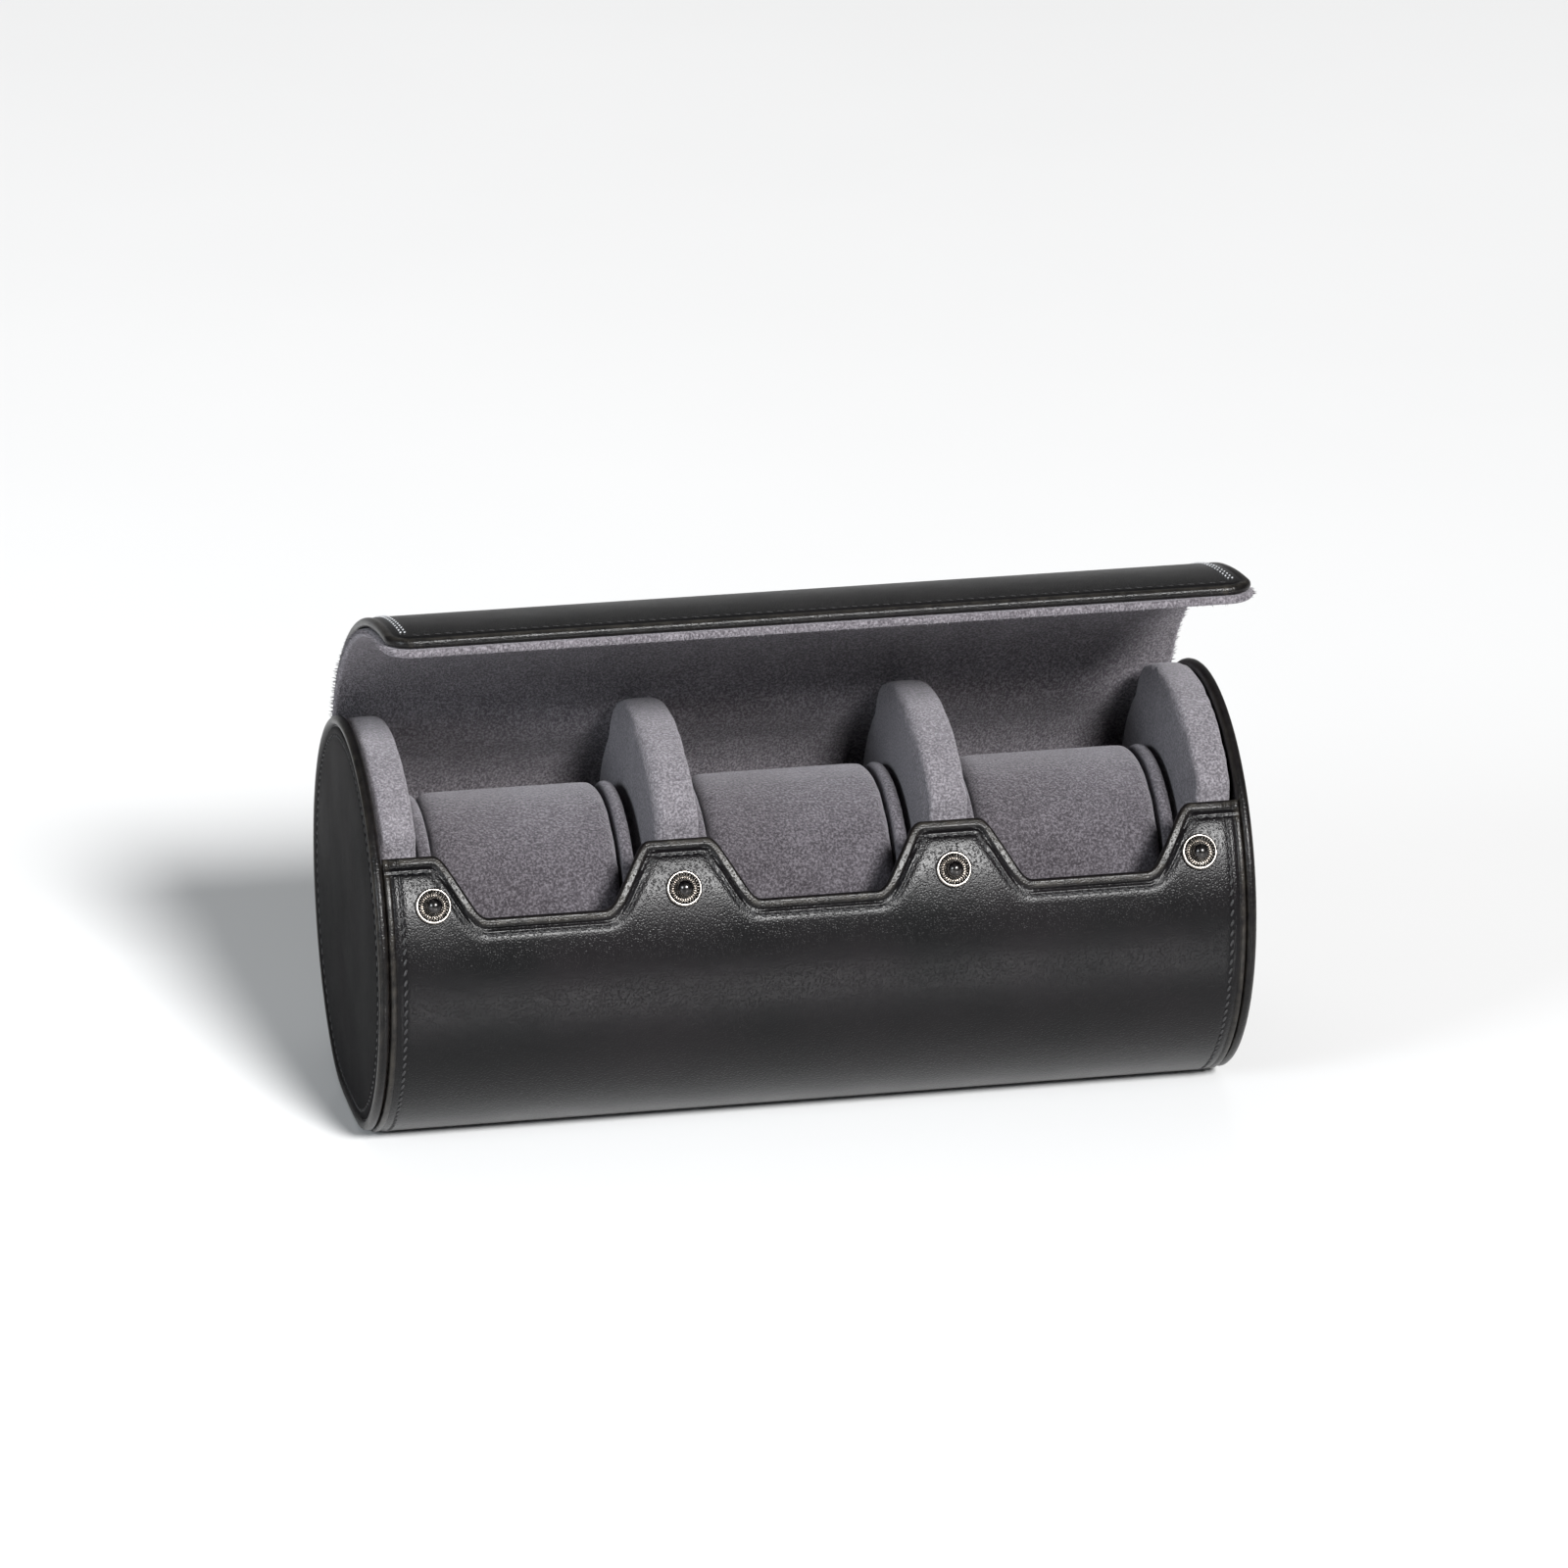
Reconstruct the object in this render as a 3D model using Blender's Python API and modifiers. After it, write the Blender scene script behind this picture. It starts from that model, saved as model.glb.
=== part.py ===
"""Three-place leather watch roll, a cylindrical jewelry box with a snap-down flap.

The roll lies along X on a narrow flat under its shell. +Y is the back, where the flap is hinged,
and -Y is the front, where the scalloped wall carries the four snap studs. Angles around the roll
are measured about its axis, from the back (+Y) over the top (+Z).
"""

from math import acos, cos, degrees, pi, radians, sin

import bmesh
import bpy
from mathutils import Matrix, Vector

# Driving dimensions, in metres and degrees.
SHELL_RADIUS = 0.050
AXIS_HEIGHT = 0.048  # below the radius, so the bottom is cut flat
HALF_LENGTH = 0.1033  # of the shell and the flap
LEATHER = 0.0011
BOARD = 0.0008
LINING = 0.0019
GAP = 0.0003  # between pieces that touch
BOARD_DEPTH = LEATHER + GAP
LINING_DEPTH = BOARD_DEPTH + BOARD + GAP
WALL = LINING_DEPTH + LINING

HINGE_ANGLE = 45.0
TAB_ANGLE = 37.9  # top of the tabs, above the horizontal through the axis
NOTCH_ANGLE = 19.6  # bottom of the notches
NOTCH_PITCH = 0.0655
NOTCH_HALF_BOTTOM = 0.0155
NOTCH_HALF_TOP = 0.0242
PIPING_RADIUS = 0.0013
PIPING_RING = 0.0485  # distance of the wall's piping from the axis

END_FACE = 0.1056
END_RIM_RADIUS = 0.00115
END_RIM_RING = 0.0487
END_BOARD = 0.0009
PAD_INNER_FACE = 0.0940

DISC_RADIUS_OPEN = 0.0493  # where the discs stand up in the mouth
DISC_RADIUS_WALL = SHELL_RADIUS - WALL - GAP
BULGE_BACK = (50.0, 64.0)  # angles over which the discs grow and shrink
BULGE_FRONT = (135.0, 141.0)
SUEDE = 0.0010
DIVIDER_CENTRES = (-0.0316, 0.0338)
DIVIDER_THICKNESS = 0.0103

PILLOW_RADIUS = 0.030
PILLOW_HEIGHT = 0.0487
PILLOW_LENGTH = 0.0520
PILLOW_END = 0.0035
PILLOW_CENTRES = (-0.0654, 0.0011, 0.0664)
PILLOW_EDGE = 0.0025  # bevels of the body and of its end panels
PILLOW_END_EDGE = 0.0012
PILLOW_END_STEP = 0.0006  # how much smaller the end panels are

STUD_ANGLE = 180.0 - 23.6
STUD_PLACES = (-0.0923, -0.0325, 0.0325, 0.0923)
STUD_RING_RADIUS = 0.0045
STUD_RING_HEIGHT = 0.0008
STUD_STEM_RADIUS = 0.0012
STUD_BALL_RADIUS = 0.0017
STUD_BALL_HEIGHT = 0.0519  # of the ball's centre, from the axis
STUD_FLANGE_RADIUS = 0.0032
STUD_RING_DISH = 0.45  # heights and radii within the ring, as shares of its own
STUD_RING_RIM = (0.72, 0.84, 0.94)
STUD_RING_EDGE = 0.5

# The flap, open as it stands by itself. Each strip is an arc that leaves its neighbour's end.
FLAP_START = 105.0
FLAP_TURNS = (30.0, 17.0, 15.0, 11.0)
FLAP_STRIP = 0.0276  # length of a strip's outer side
FLAP_CLOSING = (14.0, 22.0, 14.0, 13.2)
FLAP_CORNER = 0.006
FLAP_PIPING = (BOARD_DEPTH + BOARD) / 2.0  # its radius, level with leather and board
FLAP_MARGIN = 2.0 * FLAP_PIPING + GAP  # room for the piping round the last strip
SOCKET_HOLE = 0.0039
SOCKET_INNER = 0.0024
SOCKET_DEPTH = 0.0014
SOCKET_CHAMFER = (0.0002, 0.0003)  # depth at its outer edge, and its width

ARC_STEP = 7.5  # of round outlines
FLAP_STEP = 5.0  # along the flap
CORNER_STEP = 15.0
BALL_STEP = 22.5

NOTCH_CUTTER_HALF = 0.007  # through the wall
NOTCH_CUTTER_ABOVE = 0.004
ROUND_CUTTER_LENGTH = 0.008
EDGE_BLOCK_BEYOND = 0.012
EDGE_BLOCK_HALF_HEIGHT = 0.020


def polar(radius, angle):
    """The Y and Z of a point around the roll's axis."""
    return radius * cos(radians(angle)), AXIS_HEIGHT + radius * sin(radians(angle))


def clear_scene():
    for obj in list(bpy.data.objects):
        bpy.data.objects.remove(obj, do_unlink=True)


def new_collection(name):
    collection = bpy.data.collections.new(name)
    bpy.context.scene.collection.children.link(collection)
    return collection


def new_material(name, colour, roughness, metallic=0.0):
    material = bpy.data.materials.new(name)
    material.use_nodes = True
    shader = material.node_tree.nodes["Principled BSDF"]
    shader.inputs["Base Color"].default_value = (*colour, 1.0)
    shader.inputs["Roughness"].default_value = roughness
    shader.inputs["Metallic"].default_value = metallic
    material.diffuse_color = (*colour, 1.0)
    return material


def finishes():
    return {
        "leather": new_material("black_leather", (0.012, 0.013, 0.015), 0.38),
        "piping": new_material("leather_piping", (0.015, 0.014, 0.012), 0.32),
        "board": new_material("grey_board", (0.20, 0.18, 0.16), 0.85),
        "lining": new_material("charcoal_suede", (0.045, 0.040, 0.046), 0.95),
        "suede": new_material("grey_suede", (0.12, 0.11, 0.13), 0.95),
        "foam": new_material("foam", (0.55, 0.53, 0.50), 0.95),
        "nickel": new_material("antique_nickel", (0.42, 0.40, 0.37), 0.30, 1.0),
        "ball": new_material("black_nickel", (0.05, 0.05, 0.05), 0.18, 1.0),
    }


def add_object(name, data, material, collection):
    obj = bpy.data.objects.new(name, data)
    collection.objects.link(obj)
    data.materials.append(material)
    return obj


def smooth(obj):
    obj.data.shade_smooth()
    obj.data.set_sharp_from_angle(angle=radians(35))


def add_modifier(obj, kind, **settings):
    modifier = obj.modifiers.new(kind.title(), kind)
    for key, value in settings.items():
        setattr(modifier, key, value)
    return modifier


def make_cutter(obj):
    obj.hide_render = True
    obj.display_type = "WIRE"


def cut(obj, cutters):
    for cutter in cutters:
        add_modifier(obj, "BOOLEAN", operation="DIFFERENCE", object=cutter)


def steps(start, end, step=ARC_STEP):
    """Angles from start to end, evenly spaced, about a step apart."""
    count = max(1, round(abs(end - start) / step))
    return [start + (end - start) * i / count for i in range(count + 1)]


def curved_sheet(name, profile, thickness, material, collection):
    """A grid whose rows follow a profile in Y and Z, thickened away from its normals."""
    bm = bmesh.new()
    bmesh.ops.create_grid(bm, x_segments=1, y_segments=len(profile) - 1, size=1.0)
    for vert in bm.verts:
        row = round((vert.co.y + 1.0) / 2.0 * (len(profile) - 1))
        vert.co = (vert.co.x * HALF_LENGTH, *profile[row])
    mesh = bpy.data.meshes.new(name)
    bm.to_mesh(mesh)
    bm.free()
    obj = add_object(name, mesh, material, collection)
    smooth(obj)
    add_modifier(obj, "SOLIDIFY", thickness=thickness, offset=-1.0, use_even_offset=True)
    return obj


def flat_piece(name, outlines, low, high, material, collection):
    """Outlines in Y and Z, extruded along X from low to high. A second outline is a hole."""
    curve = bpy.data.curves.new(name, "CURVE")
    curve.dimensions = "2D"
    curve.fill_mode = "BOTH"
    curve.extrude = abs(high - low) / 2.0
    for outline in outlines:
        spline = curve.splines.new("POLY")
        spline.points.add(len(outline) - 1)
        for point, place in zip(spline.points, outline):
            point.co = (*place, 0.0, 1.0)
        spline.use_cyclic_u = True
    obj = add_object(name, curve, material, collection)
    obj.rotation_euler = (pi / 2.0, 0.0, pi / 2.0)
    obj.location.x = (low + high) / 2.0
    return obj


def tube(name, places, radius, cyclic, material, collection):
    curve = bpy.data.curves.new(name, "CURVE")
    curve.dimensions = "3D"
    curve.bevel_depth = radius
    curve.bevel_resolution = 1
    curve.use_fill_caps = not cyclic
    spline = curve.splines.new("POLY")
    spline.points.add(len(places) - 1)
    for point, place in zip(spline.points, places):
        point.co = (*place, 1.0)
    spline.use_cyclic_u = cyclic
    return add_object(name, curve, material, collection)


def turned_piece(name, profile, closed, material, collection, turns=16):
    """A profile in X and Z, turned about Z. It runs down the outer side."""
    mesh = bpy.data.meshes.new(name)
    count = len(profile)
    edges = [(i, i + 1) for i in range(count - 1)]
    if closed:
        edges.append((count - 1, 0))
    mesh.from_pydata([(x, 0.0, z) for x, z in profile], edges, [])
    obj = add_object(name, mesh, material, collection)
    add_modifier(
        obj,
        "SCREW",
        steps=turns,
        render_steps=turns,
        use_merge_vertices=True,
        merge_threshold=0.00001,
        use_smooth_shade=False,
    )
    return obj


def point_outwards(obj, x, place, angle):
    """Puts an object at X and (Y, Z), with its own Z along an angle in the Y-Z plane."""
    obj.location = (x, *place)
    obj.rotation_euler = (radians(angle - 90.0), 0.0, 0.0)


def round_outline(radius_at, floor):
    """A closed outline around the axis, cut flat at the floor's height."""
    places = []
    for angle in steps(0.0, 360.0)[:-1]:
        y, z = polar(radius_at(angle), angle)
        places.append((y, z))
    low_half = [p for p in places if p[1] < floor]
    if not low_half:
        return places
    first = places.index(low_half[0])
    last = places.index(low_half[-1])
    radius = radius_at(270.0)
    half = (radius**2 - (AXIS_HEIGHT - floor) ** 2) ** 0.5
    return places[:first] + [(-half, floor), (half, floor)] + places[last + 1 :]


def disc_radius(shrink):
    """The outline of a soft disc: held by the wall below, and fuller in the open mouth."""

    def ease(angle, limits):
        t = min(1.0, max(0.0, (angle - limits[0]) / (limits[1] - limits[0])))
        return t * t * (3.0 - 2.0 * t)

    def radius_at(angle):
        rise = ease(angle, BULGE_BACK) - ease(angle, BULGE_FRONT)
        return DISC_RADIUS_WALL + rise * (DISC_RADIUS_OPEN - DISC_RADIUS_WALL) - shrink

    return radius_at


def disc_outline(shrink):
    return round_outline(disc_radius(shrink), WALL + GAP + shrink)


def wall_profile(depth, back_angle, front_angle):
    """The shell's section at a depth below its outside, from the back edge under to the front."""
    radius = SHELL_RADIUS - depth
    half_flat = degrees(acos((AXIS_HEIGHT - depth) / radius))
    back = [polar(radius, a) for a in steps(back_angle, -90.0 + half_flat)]
    front = [polar(radius, a) for a in steps(-90.0 - half_flat, front_angle - 360.0)]
    return back + front


def notch_corners(inset):
    """Half widths and angles of a notch whose edge is moved into the wall by an inset."""
    depth = SHELL_RADIUS * radians(TAB_ANGLE - NOTCH_ANGLE)
    run = NOTCH_HALF_TOP - NOTCH_HALF_BOTTOM
    length = (depth**2 + run**2) ** 0.5
    widen = inset * (length - run) / depth
    drop = degrees(inset / SHELL_RADIUS)
    return (
        (NOTCH_HALF_BOTTOM + widen, NOTCH_ANGLE - drop),
        (NOTCH_HALF_TOP + widen, TAB_ANGLE - drop),
    )


def notch_cutter(name, x, inset, material, collection):
    """A tapered block through the wall, shaped to the notch."""
    (low_half, low_angle), (high_half, high_angle) = notch_corners(inset)
    middle = radians((low_angle + high_angle) / 2.0)
    low = -SHELL_RADIUS * sin(middle - radians(low_angle))
    high = SHELL_RADIUS * sin(radians(high_angle) - middle)
    slope = (high_half - low_half) / (high - low)
    above = high + NOTCH_CUTTER_ABOVE
    bm = bmesh.new()
    bmesh.ops.create_cube(bm, size=2.0)
    for vert in bm.verts:
        half = low_half if vert.co.z < 0.0 else low_half + slope * (above - low)
        height = low if vert.co.z < 0.0 else above
        vert.co = (vert.co.x * half, vert.co.y * NOTCH_CUTTER_HALF, height)
    mesh = bpy.data.meshes.new(name)
    bm.to_mesh(mesh)
    bm.free()
    obj = add_object(name, mesh, material, collection)
    obj.location = (x, *polar(SHELL_RADIUS - WALL / 2.0, 180.0 - degrees(middle)))
    obj.rotation_euler.x = -middle
    make_cutter(obj)
    return obj


def round_cutter(name, x, radius, place, angle, material, collection):
    mesh = bpy.data.meshes.new(name)
    bm = bmesh.new()
    bmesh.ops.create_cone(
        bm,
        cap_ends=True,
        segments=12,
        radius1=radius,
        radius2=radius,
        depth=ROUND_CUTTER_LENGTH,
    )
    bm.to_mesh(mesh)
    bm.free()
    obj = add_object(name, mesh, material, collection)
    point_outwards(obj, x, place, angle)
    make_cutter(obj)
    return obj


def make_shell(finish, parts, cutters):
    inset = 2.0 * PIPING_RADIUS + GAP
    back = HINGE_ANGLE - degrees(GAP / SHELL_RADIUS)
    front = 180.0 - TAB_ANGLE + degrees(inset / SHELL_RADIUS)
    layers = (
        ("shell_leather", 0.0, LEATHER, "leather", STUD_STEM_RADIUS + GAP),
        ("shell_board", BOARD_DEPTH, BOARD, "board", STUD_FLANGE_RADIUS + GAP),
        ("shell_lining", LINING_DEPTH, LINING, "lining", None),
    )
    notches = [
        notch_cutter(f"notch_{i}", i * NOTCH_PITCH, inset, finish["board"], cutters)
        for i in (-1, 0, 1)
    ]
    for name, depth, thickness, key, hole in layers:
        profile = wall_profile(depth, back, front)
        obj = curved_sheet(name, profile, thickness, finish[key], parts)
        cut(obj, notches)
        if hole:
            place = polar(SHELL_RADIUS, STUD_ANGLE)
            holes = []
            for i, x in enumerate(STUD_PLACES):
                cutter = f"{name}_hole_{i}"
                holes.append(round_cutter(cutter, x, hole, place, STUD_ANGLE, finish["board"], cutters))
            cut(obj, holes)
    make_wall_piping(finish, parts)


def make_wall_piping(finish, parts):
    """Piping along the tabs and notches of the front wall."""
    (low_half, low_angle), (high_half, high_angle) = notch_corners(PIPING_RADIUS)
    turns = [(-HALF_LENGTH + GAP, high_angle)]
    for i in (-1, 0, 1):
        x = i * NOTCH_PITCH
        left = [(x - high_half, high_angle), (x - low_half, low_angle)]
        turns += left + [(2.0 * x - px, angle) for px, angle in reversed(left)]
    turns.append((HALF_LENGTH - GAP, high_angle))
    places = []
    for (x0, a0), (x1, a1) in zip(turns, turns[1:]):
        count = 1 if a0 == a1 else 4
        for i in range(count):
            t = i / count
            place = polar(PIPING_RING, 180.0 - (a0 + (a1 - a0) * t))
            places.append((x0 + (x1 - x0) * t, *place))
    places.append((turns[-1][0], *polar(PIPING_RING, 180.0 - turns[-1][1])))
    tube("shell_edge_piping", places, PIPING_RADIUS, False, finish["piping"], parts)


def make_end(side, sign, finish, parts):
    """An end panel: leather on a board, with a piped rim, and the suede pad behind it."""
    rim_x = END_FACE - END_RIM_RADIUS + GAP
    rim = round_outline(lambda angle: END_RIM_RING, END_RIM_RADIUS + 2.0 * GAP)
    places = [(sign * rim_x, y, z) for y, z in rim]
    tube(f"end_rim_{side}", places, END_RIM_RADIUS, True, finish["piping"], parts)
    panel_radius = END_RIM_RING - END_RIM_RADIUS - GAP
    panel = round_outline(lambda angle: panel_radius, 2.0 * END_RIM_RADIUS + 3.0 * GAP)
    board_low = HALF_LENGTH + GAP
    board_high = board_low + END_BOARD
    leather_low = board_high + GAP
    core = disc_outline(SUEDE + GAP)
    band = [disc_outline(0.0), disc_outline(SUEDE)]
    face_high = PAD_INNER_FACE + SUEDE
    sheets = (
        ("end_board", [panel], board_low, board_high, "board"),
        ("end_leather", [panel], leather_low, END_FACE, "leather"),
        ("pad_core", [core], face_high + GAP, HALF_LENGTH, "foam"),
        ("pad_band", band, PAD_INNER_FACE, HALF_LENGTH, "suede"),
        ("pad_face", [core], PAD_INNER_FACE, face_high, "suede"),
    )
    for name, outlines, low, high, key in sheets:
        flat_piece(f"{name}_{side}", outlines, sign * low, sign * high, finish[key], parts)


def make_divider(number, centre, finish, parts):
    half = DIVIDER_THICKNESS / 2.0
    core_half = half - SUEDE - GAP
    core = [disc_outline(SUEDE + GAP)]
    band = [disc_outline(0.0), disc_outline(SUEDE)]
    sheets = (
        ("divider_core", core, -core_half, core_half, "foam"),
        ("divider_band", band, -half, half, "suede"),
        ("divider_face_left", core, SUEDE - half, -half, "suede"),
        ("divider_face_right", core, half - SUEDE, half, "suede"),
    )
    for name, outlines, low, high, key in sheets:
        flat_piece(f"{name}_{number}", outlines, centre + low, centre + high, finish[key], parts)


def make_pillow(number, centre, finish, parts):
    """A loose roll that a watch is strapped round, with a sewn panel on each end."""
    empty = bpy.data.objects.new(f"pillow_{number}_slide", None)
    empty.location = (centre, 0.0, PILLOW_HEIGHT)
    parts.objects.link(empty)
    body_half = PILLOW_LENGTH / 2.0 - PILLOW_END - GAP
    end_radius = PILLOW_RADIUS - PILLOW_END_STEP
    pieces = (
        (f"pillow_body_{number}", PILLOW_RADIUS, 0.0, body_half, PILLOW_EDGE),
        (f"pillow_end_left_{number}", end_radius, -1.0, PILLOW_END / 2.0, PILLOW_END_EDGE),
        (f"pillow_end_right_{number}", end_radius, 1.0, PILLOW_END / 2.0, PILLOW_END_EDGE),
    )
    for name, radius, side, half, edge in pieces:
        bm = bmesh.new()
        bmesh.ops.create_cone(
            bm, cap_ends=True, segments=32, radius1=radius, radius2=radius, depth=2.0 * half
        )
        mesh = bpy.data.meshes.new(name)
        bm.to_mesh(mesh)
        bm.free()
        obj = add_object(name, mesh, finish["suede"], parts)
        obj.parent = empty
        obj.location.x = side * (PILLOW_LENGTH / 2.0 - half)
        obj.rotation_euler.y = pi / 2.0
        add_modifier(obj, "BEVEL", width=edge, segments=1, limit_method="ANGLE")
        smooth(obj)


def make_stud(number, x, finish, parts):
    """The post is riveted through leather and board, and clamps the ribbed ring in front."""
    base = SHELL_RADIUS + GAP
    outer, height = STUD_RING_RADIUS, STUD_RING_HEIGHT
    bore = STUD_STEM_RADIUS + GAP
    inside, crest, outside = (share * outer for share in STUD_RING_RIM)
    ring_profile = [
        (bore, STUD_RING_EDGE * height),
        (inside, STUD_RING_DISH * height),
        (crest, height),
        (outside, height),
        (outer, STUD_RING_EDGE * height),
        (outer, 0.0),
        (bore, 0.0),
    ]
    ring = turned_piece(f"stud_ring_{number}", ring_profile, True, finish["nickel"], parts)
    point_outwards(ring, x, polar(base, STUD_ANGLE), STUD_ANGLE)

    ball, stem = STUD_BALL_RADIUS, STUD_STEM_RADIUS
    flange_top = SHELL_RADIUS - LEATHER - GAP
    flange_low = flange_top - BOARD
    centre = STUD_BALL_HEIGHT - SHELL_RADIUS
    neck = centre - (ball**2 - stem**2) ** 0.5
    start = degrees(acos((neck - centre) / ball))
    post_profile = [
        (ball * sin(radians(a)), centre + ball * cos(radians(a)))
        for a in steps(0.0, start, BALL_STEP)
    ]
    post_profile += [
        (stem, flange_top - SHELL_RADIUS),
        (STUD_FLANGE_RADIUS, flange_top - SHELL_RADIUS),
        (STUD_FLANGE_RADIUS, flange_low - SHELL_RADIUS),
        (0.0, flange_low - SHELL_RADIUS),
    ]
    post = turned_piece(f"stud_post_{number}", post_profile, False, finish["ball"], parts)
    point_outwards(post, x, polar(SHELL_RADIUS, STUD_ANGLE), STUD_ANGLE)


def flap_arcs():
    """Each strip's arc centre (Y, Z), outer radius, and first and last heading, at rest."""
    place = Vector(polar(SHELL_RADIUS, HINGE_ANGLE))
    heading = FLAP_START
    arcs = []
    for turn in FLAP_TURNS:
        radius = FLAP_STRIP / radians(turn)
        inward = Vector((-sin(radians(heading)), cos(radians(heading))))
        centre = place + radius * inward
        arcs.append((centre, radius, heading, heading + turn))
        heading += turn
        inward = Vector((-sin(radians(heading)), cos(radians(heading))))
        place = centre - radius * inward
    return arcs


def flap_place(arc, heading, depth):
    """A point of a strip, at a heading along it and a depth below its outside."""
    centre, radius, _, _ = arc
    inward = Vector((-sin(radians(heading)), cos(radians(heading))))
    return centre - (radius - depth) * inward


def flap_pivots(arcs):
    """The flap turns on the shell at its outside, and each strip on the last at its inside."""
    pivots = [flap_place(arcs[0], arcs[0][2], 0.0)]
    return pivots + [flap_place(arc, arc[2], WALL) for arc in arcs[1:]]


def socket_heading(arcs, pivots):
    """Where on the last strip, at rest, a snap stud meets it when the flap is closed."""
    closing = Matrix.Identity(4)
    for pivot, angle in zip(pivots, FLAP_CLOSING):
        there = Matrix.Translation((0.0, *pivot))
        closing = closing @ there @ Matrix.Rotation(radians(angle), 4, "X") @ there.inverted()
    met = closing.inverted() @ Vector((0.0, *polar(STUD_BALL_HEIGHT, STUD_ANGLE)))
    offset = Vector(met.yz) - arcs[-1][0]
    return degrees(offset.angle_signed(Vector((0.0, -1.0)))) % 360.0


def strip_profile(arc, depth):
    """From the front edge of a strip back to its hinged edge, so its normals point outwards."""
    trim = degrees(GAP / 2.0 / arc[1])
    headings = steps(arc[3] - trim, arc[2] + trim, FLAP_STEP)
    return [tuple(flap_place(arc, heading, depth)) for heading in headings]


def front_outline(half, front_y, radius, back_y):
    """The plan of the flap's free end: one side, a round corner, the other corner and side."""
    turn = [
        (half - radius + radius * cos(radians(a)), front_y + radius - radius * sin(radians(a)))
        for a in steps(0.0, 90.0, CORNER_STEP)
    ]
    right = [(half, back_y)] + turn
    return right + [(-x, y) for x, y in reversed(right)]


def edge_block(name, inset, front_y, back_y, material, collection):
    """An upright block round the flap's free end, which leaves its outline with round corners."""
    beyond = EDGE_BLOCK_BEYOND
    half = HALF_LENGTH + beyond
    radius = FLAP_CORNER + FLAP_MARGIN - inset
    inner = front_outline(HALF_LENGTH - inset, front_y + inset, radius, back_y)
    far = front_y - beyond
    outer = [(-half, back_y), (-half, far), (half, far), (half, back_y)]
    curve = bpy.data.curves.new(name, "CURVE")
    curve.dimensions = "2D"
    curve.fill_mode = "BOTH"
    curve.extrude = EDGE_BLOCK_HALF_HEIGHT
    spline = curve.splines.new("POLY")
    outline = inner + outer
    spline.points.add(len(outline) - 1)
    for point, place in zip(spline.points, outline):
        point.co = (*place, 0.0, 1.0)
    spline.use_cyclic_u = True
    guide = add_object(f"{name}_guide", curve, material, collection)
    guide.location.z = flap_place(flap_arcs()[-1], FLAP_START + sum(FLAP_TURNS), 0.0).y
    graph = bpy.context.evaluated_depsgraph_get()
    mesh = bpy.data.meshes.new_from_object(guide.evaluated_get(graph))
    bm = bmesh.new()
    bm.from_mesh(mesh)
    bmesh.ops.remove_doubles(bm, verts=bm.verts, dist=0.000001)
    bmesh.ops.recalc_face_normals(bm, faces=bm.faces)
    bm.to_mesh(mesh)
    bm.free()
    block = bpy.data.objects.new(name, mesh)
    collection.objects.link(block)
    block.location = guide.location
    bpy.data.objects.remove(guide, do_unlink=True)
    make_cutter(block)
    return block


def make_flap_piping(arc, front_y, finish, parts):
    """Piping round the last strip: along one side, the front, and the other side."""
    trim = degrees(GAP / 2.0 / arc[1])
    back_y = flap_place(arc, arc[2] + 2.0 * trim, FLAP_PIPING).x
    half = HALF_LENGTH - FLAP_PIPING
    front = front_y + FLAP_PIPING
    plan = front_outline(half, front, FLAP_CORNER + FLAP_PIPING + GAP, back_y)
    side = [(half, back_y + (plan[1][1] - back_y) * i / 4.0) for i in range(1, 4)]
    plan = plan[:1] + side + plan[1:-1] + [(-x, y) for x, y in reversed(side)] + plan[-1:]
    places = []
    for x, y in plan:
        ring = arc[1] - FLAP_PIPING
        height = arc[0].y + (ring**2 - (y - arc[0].x) ** 2) ** 0.5
        places.append((x, y, height))
    return tube("flap_piping", places, FLAP_PIPING, False, finish["piping"], parts)


def make_flap(finish, parts, cutters):
    arcs = flap_arcs()
    pivots = flap_pivots(arcs)
    front_y = flap_place(arcs[-1], arcs[-1][3], 0.0).x
    back_y = flap_place(arcs[-1], arcs[-1][2], 0.0).x + FLAP_CORNER
    block = edge_block("edge_block", FLAP_MARGIN, front_y, back_y, finish["board"], cutters)
    lining_block = edge_block("lining_edge_block", GAP, front_y, back_y, finish["board"], cutters)
    heading = socket_heading(arcs, pivots)
    socket_place = tuple(flap_place(arcs[-1], heading, WALL))
    socket_angle = heading - 90.0
    layers = (
        ("leather", 0.0, LEATHER),
        ("board", BOARD_DEPTH, BOARD),
        ("lining", LINING_DEPTH, LINING),
    )
    parent = None
    for number, (arc, pivot) in enumerate(zip(arcs, pivots), start=1):
        empty = bpy.data.objects.new(f"flap_axis_{number}", None)
        parts.objects.link(empty)
        here = Vector((0.0, *pivot))
        empty.location = here if parent is None else here - parent[1]
        empty.parent = parent[0] if parent else None
        parent = (empty, here)
        pieces = []
        for key, depth, thickness in layers:
            name = f"flap_{key}_{number}"
            obj = curved_sheet(name, strip_profile(arc, depth), thickness, finish[key], parts)
            pieces.append(obj)
            if number == len(arcs):
                cut(obj, [lining_block if key == "lining" else block])
                if key == "lining":
                    cut(obj, socket_cutters(socket_place, socket_angle, finish, cutters))
        if number == len(arcs):
            pieces.append(make_flap_piping(arc, front_y, finish, parts))
            pieces += make_sockets(socket_place, socket_angle, finish, parts)
        for obj in pieces:
            obj.parent = empty
            obj.matrix_parent_inverse = Matrix.Translation(-here)


def socket_cutters(place, angle, finish, cutters):
    return [
        round_cutter(f"socket_hole_{i}", x, SOCKET_HOLE, place, angle, finish["board"], cutters)
        for i, x in enumerate(STUD_PLACES)
    ]


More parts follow.
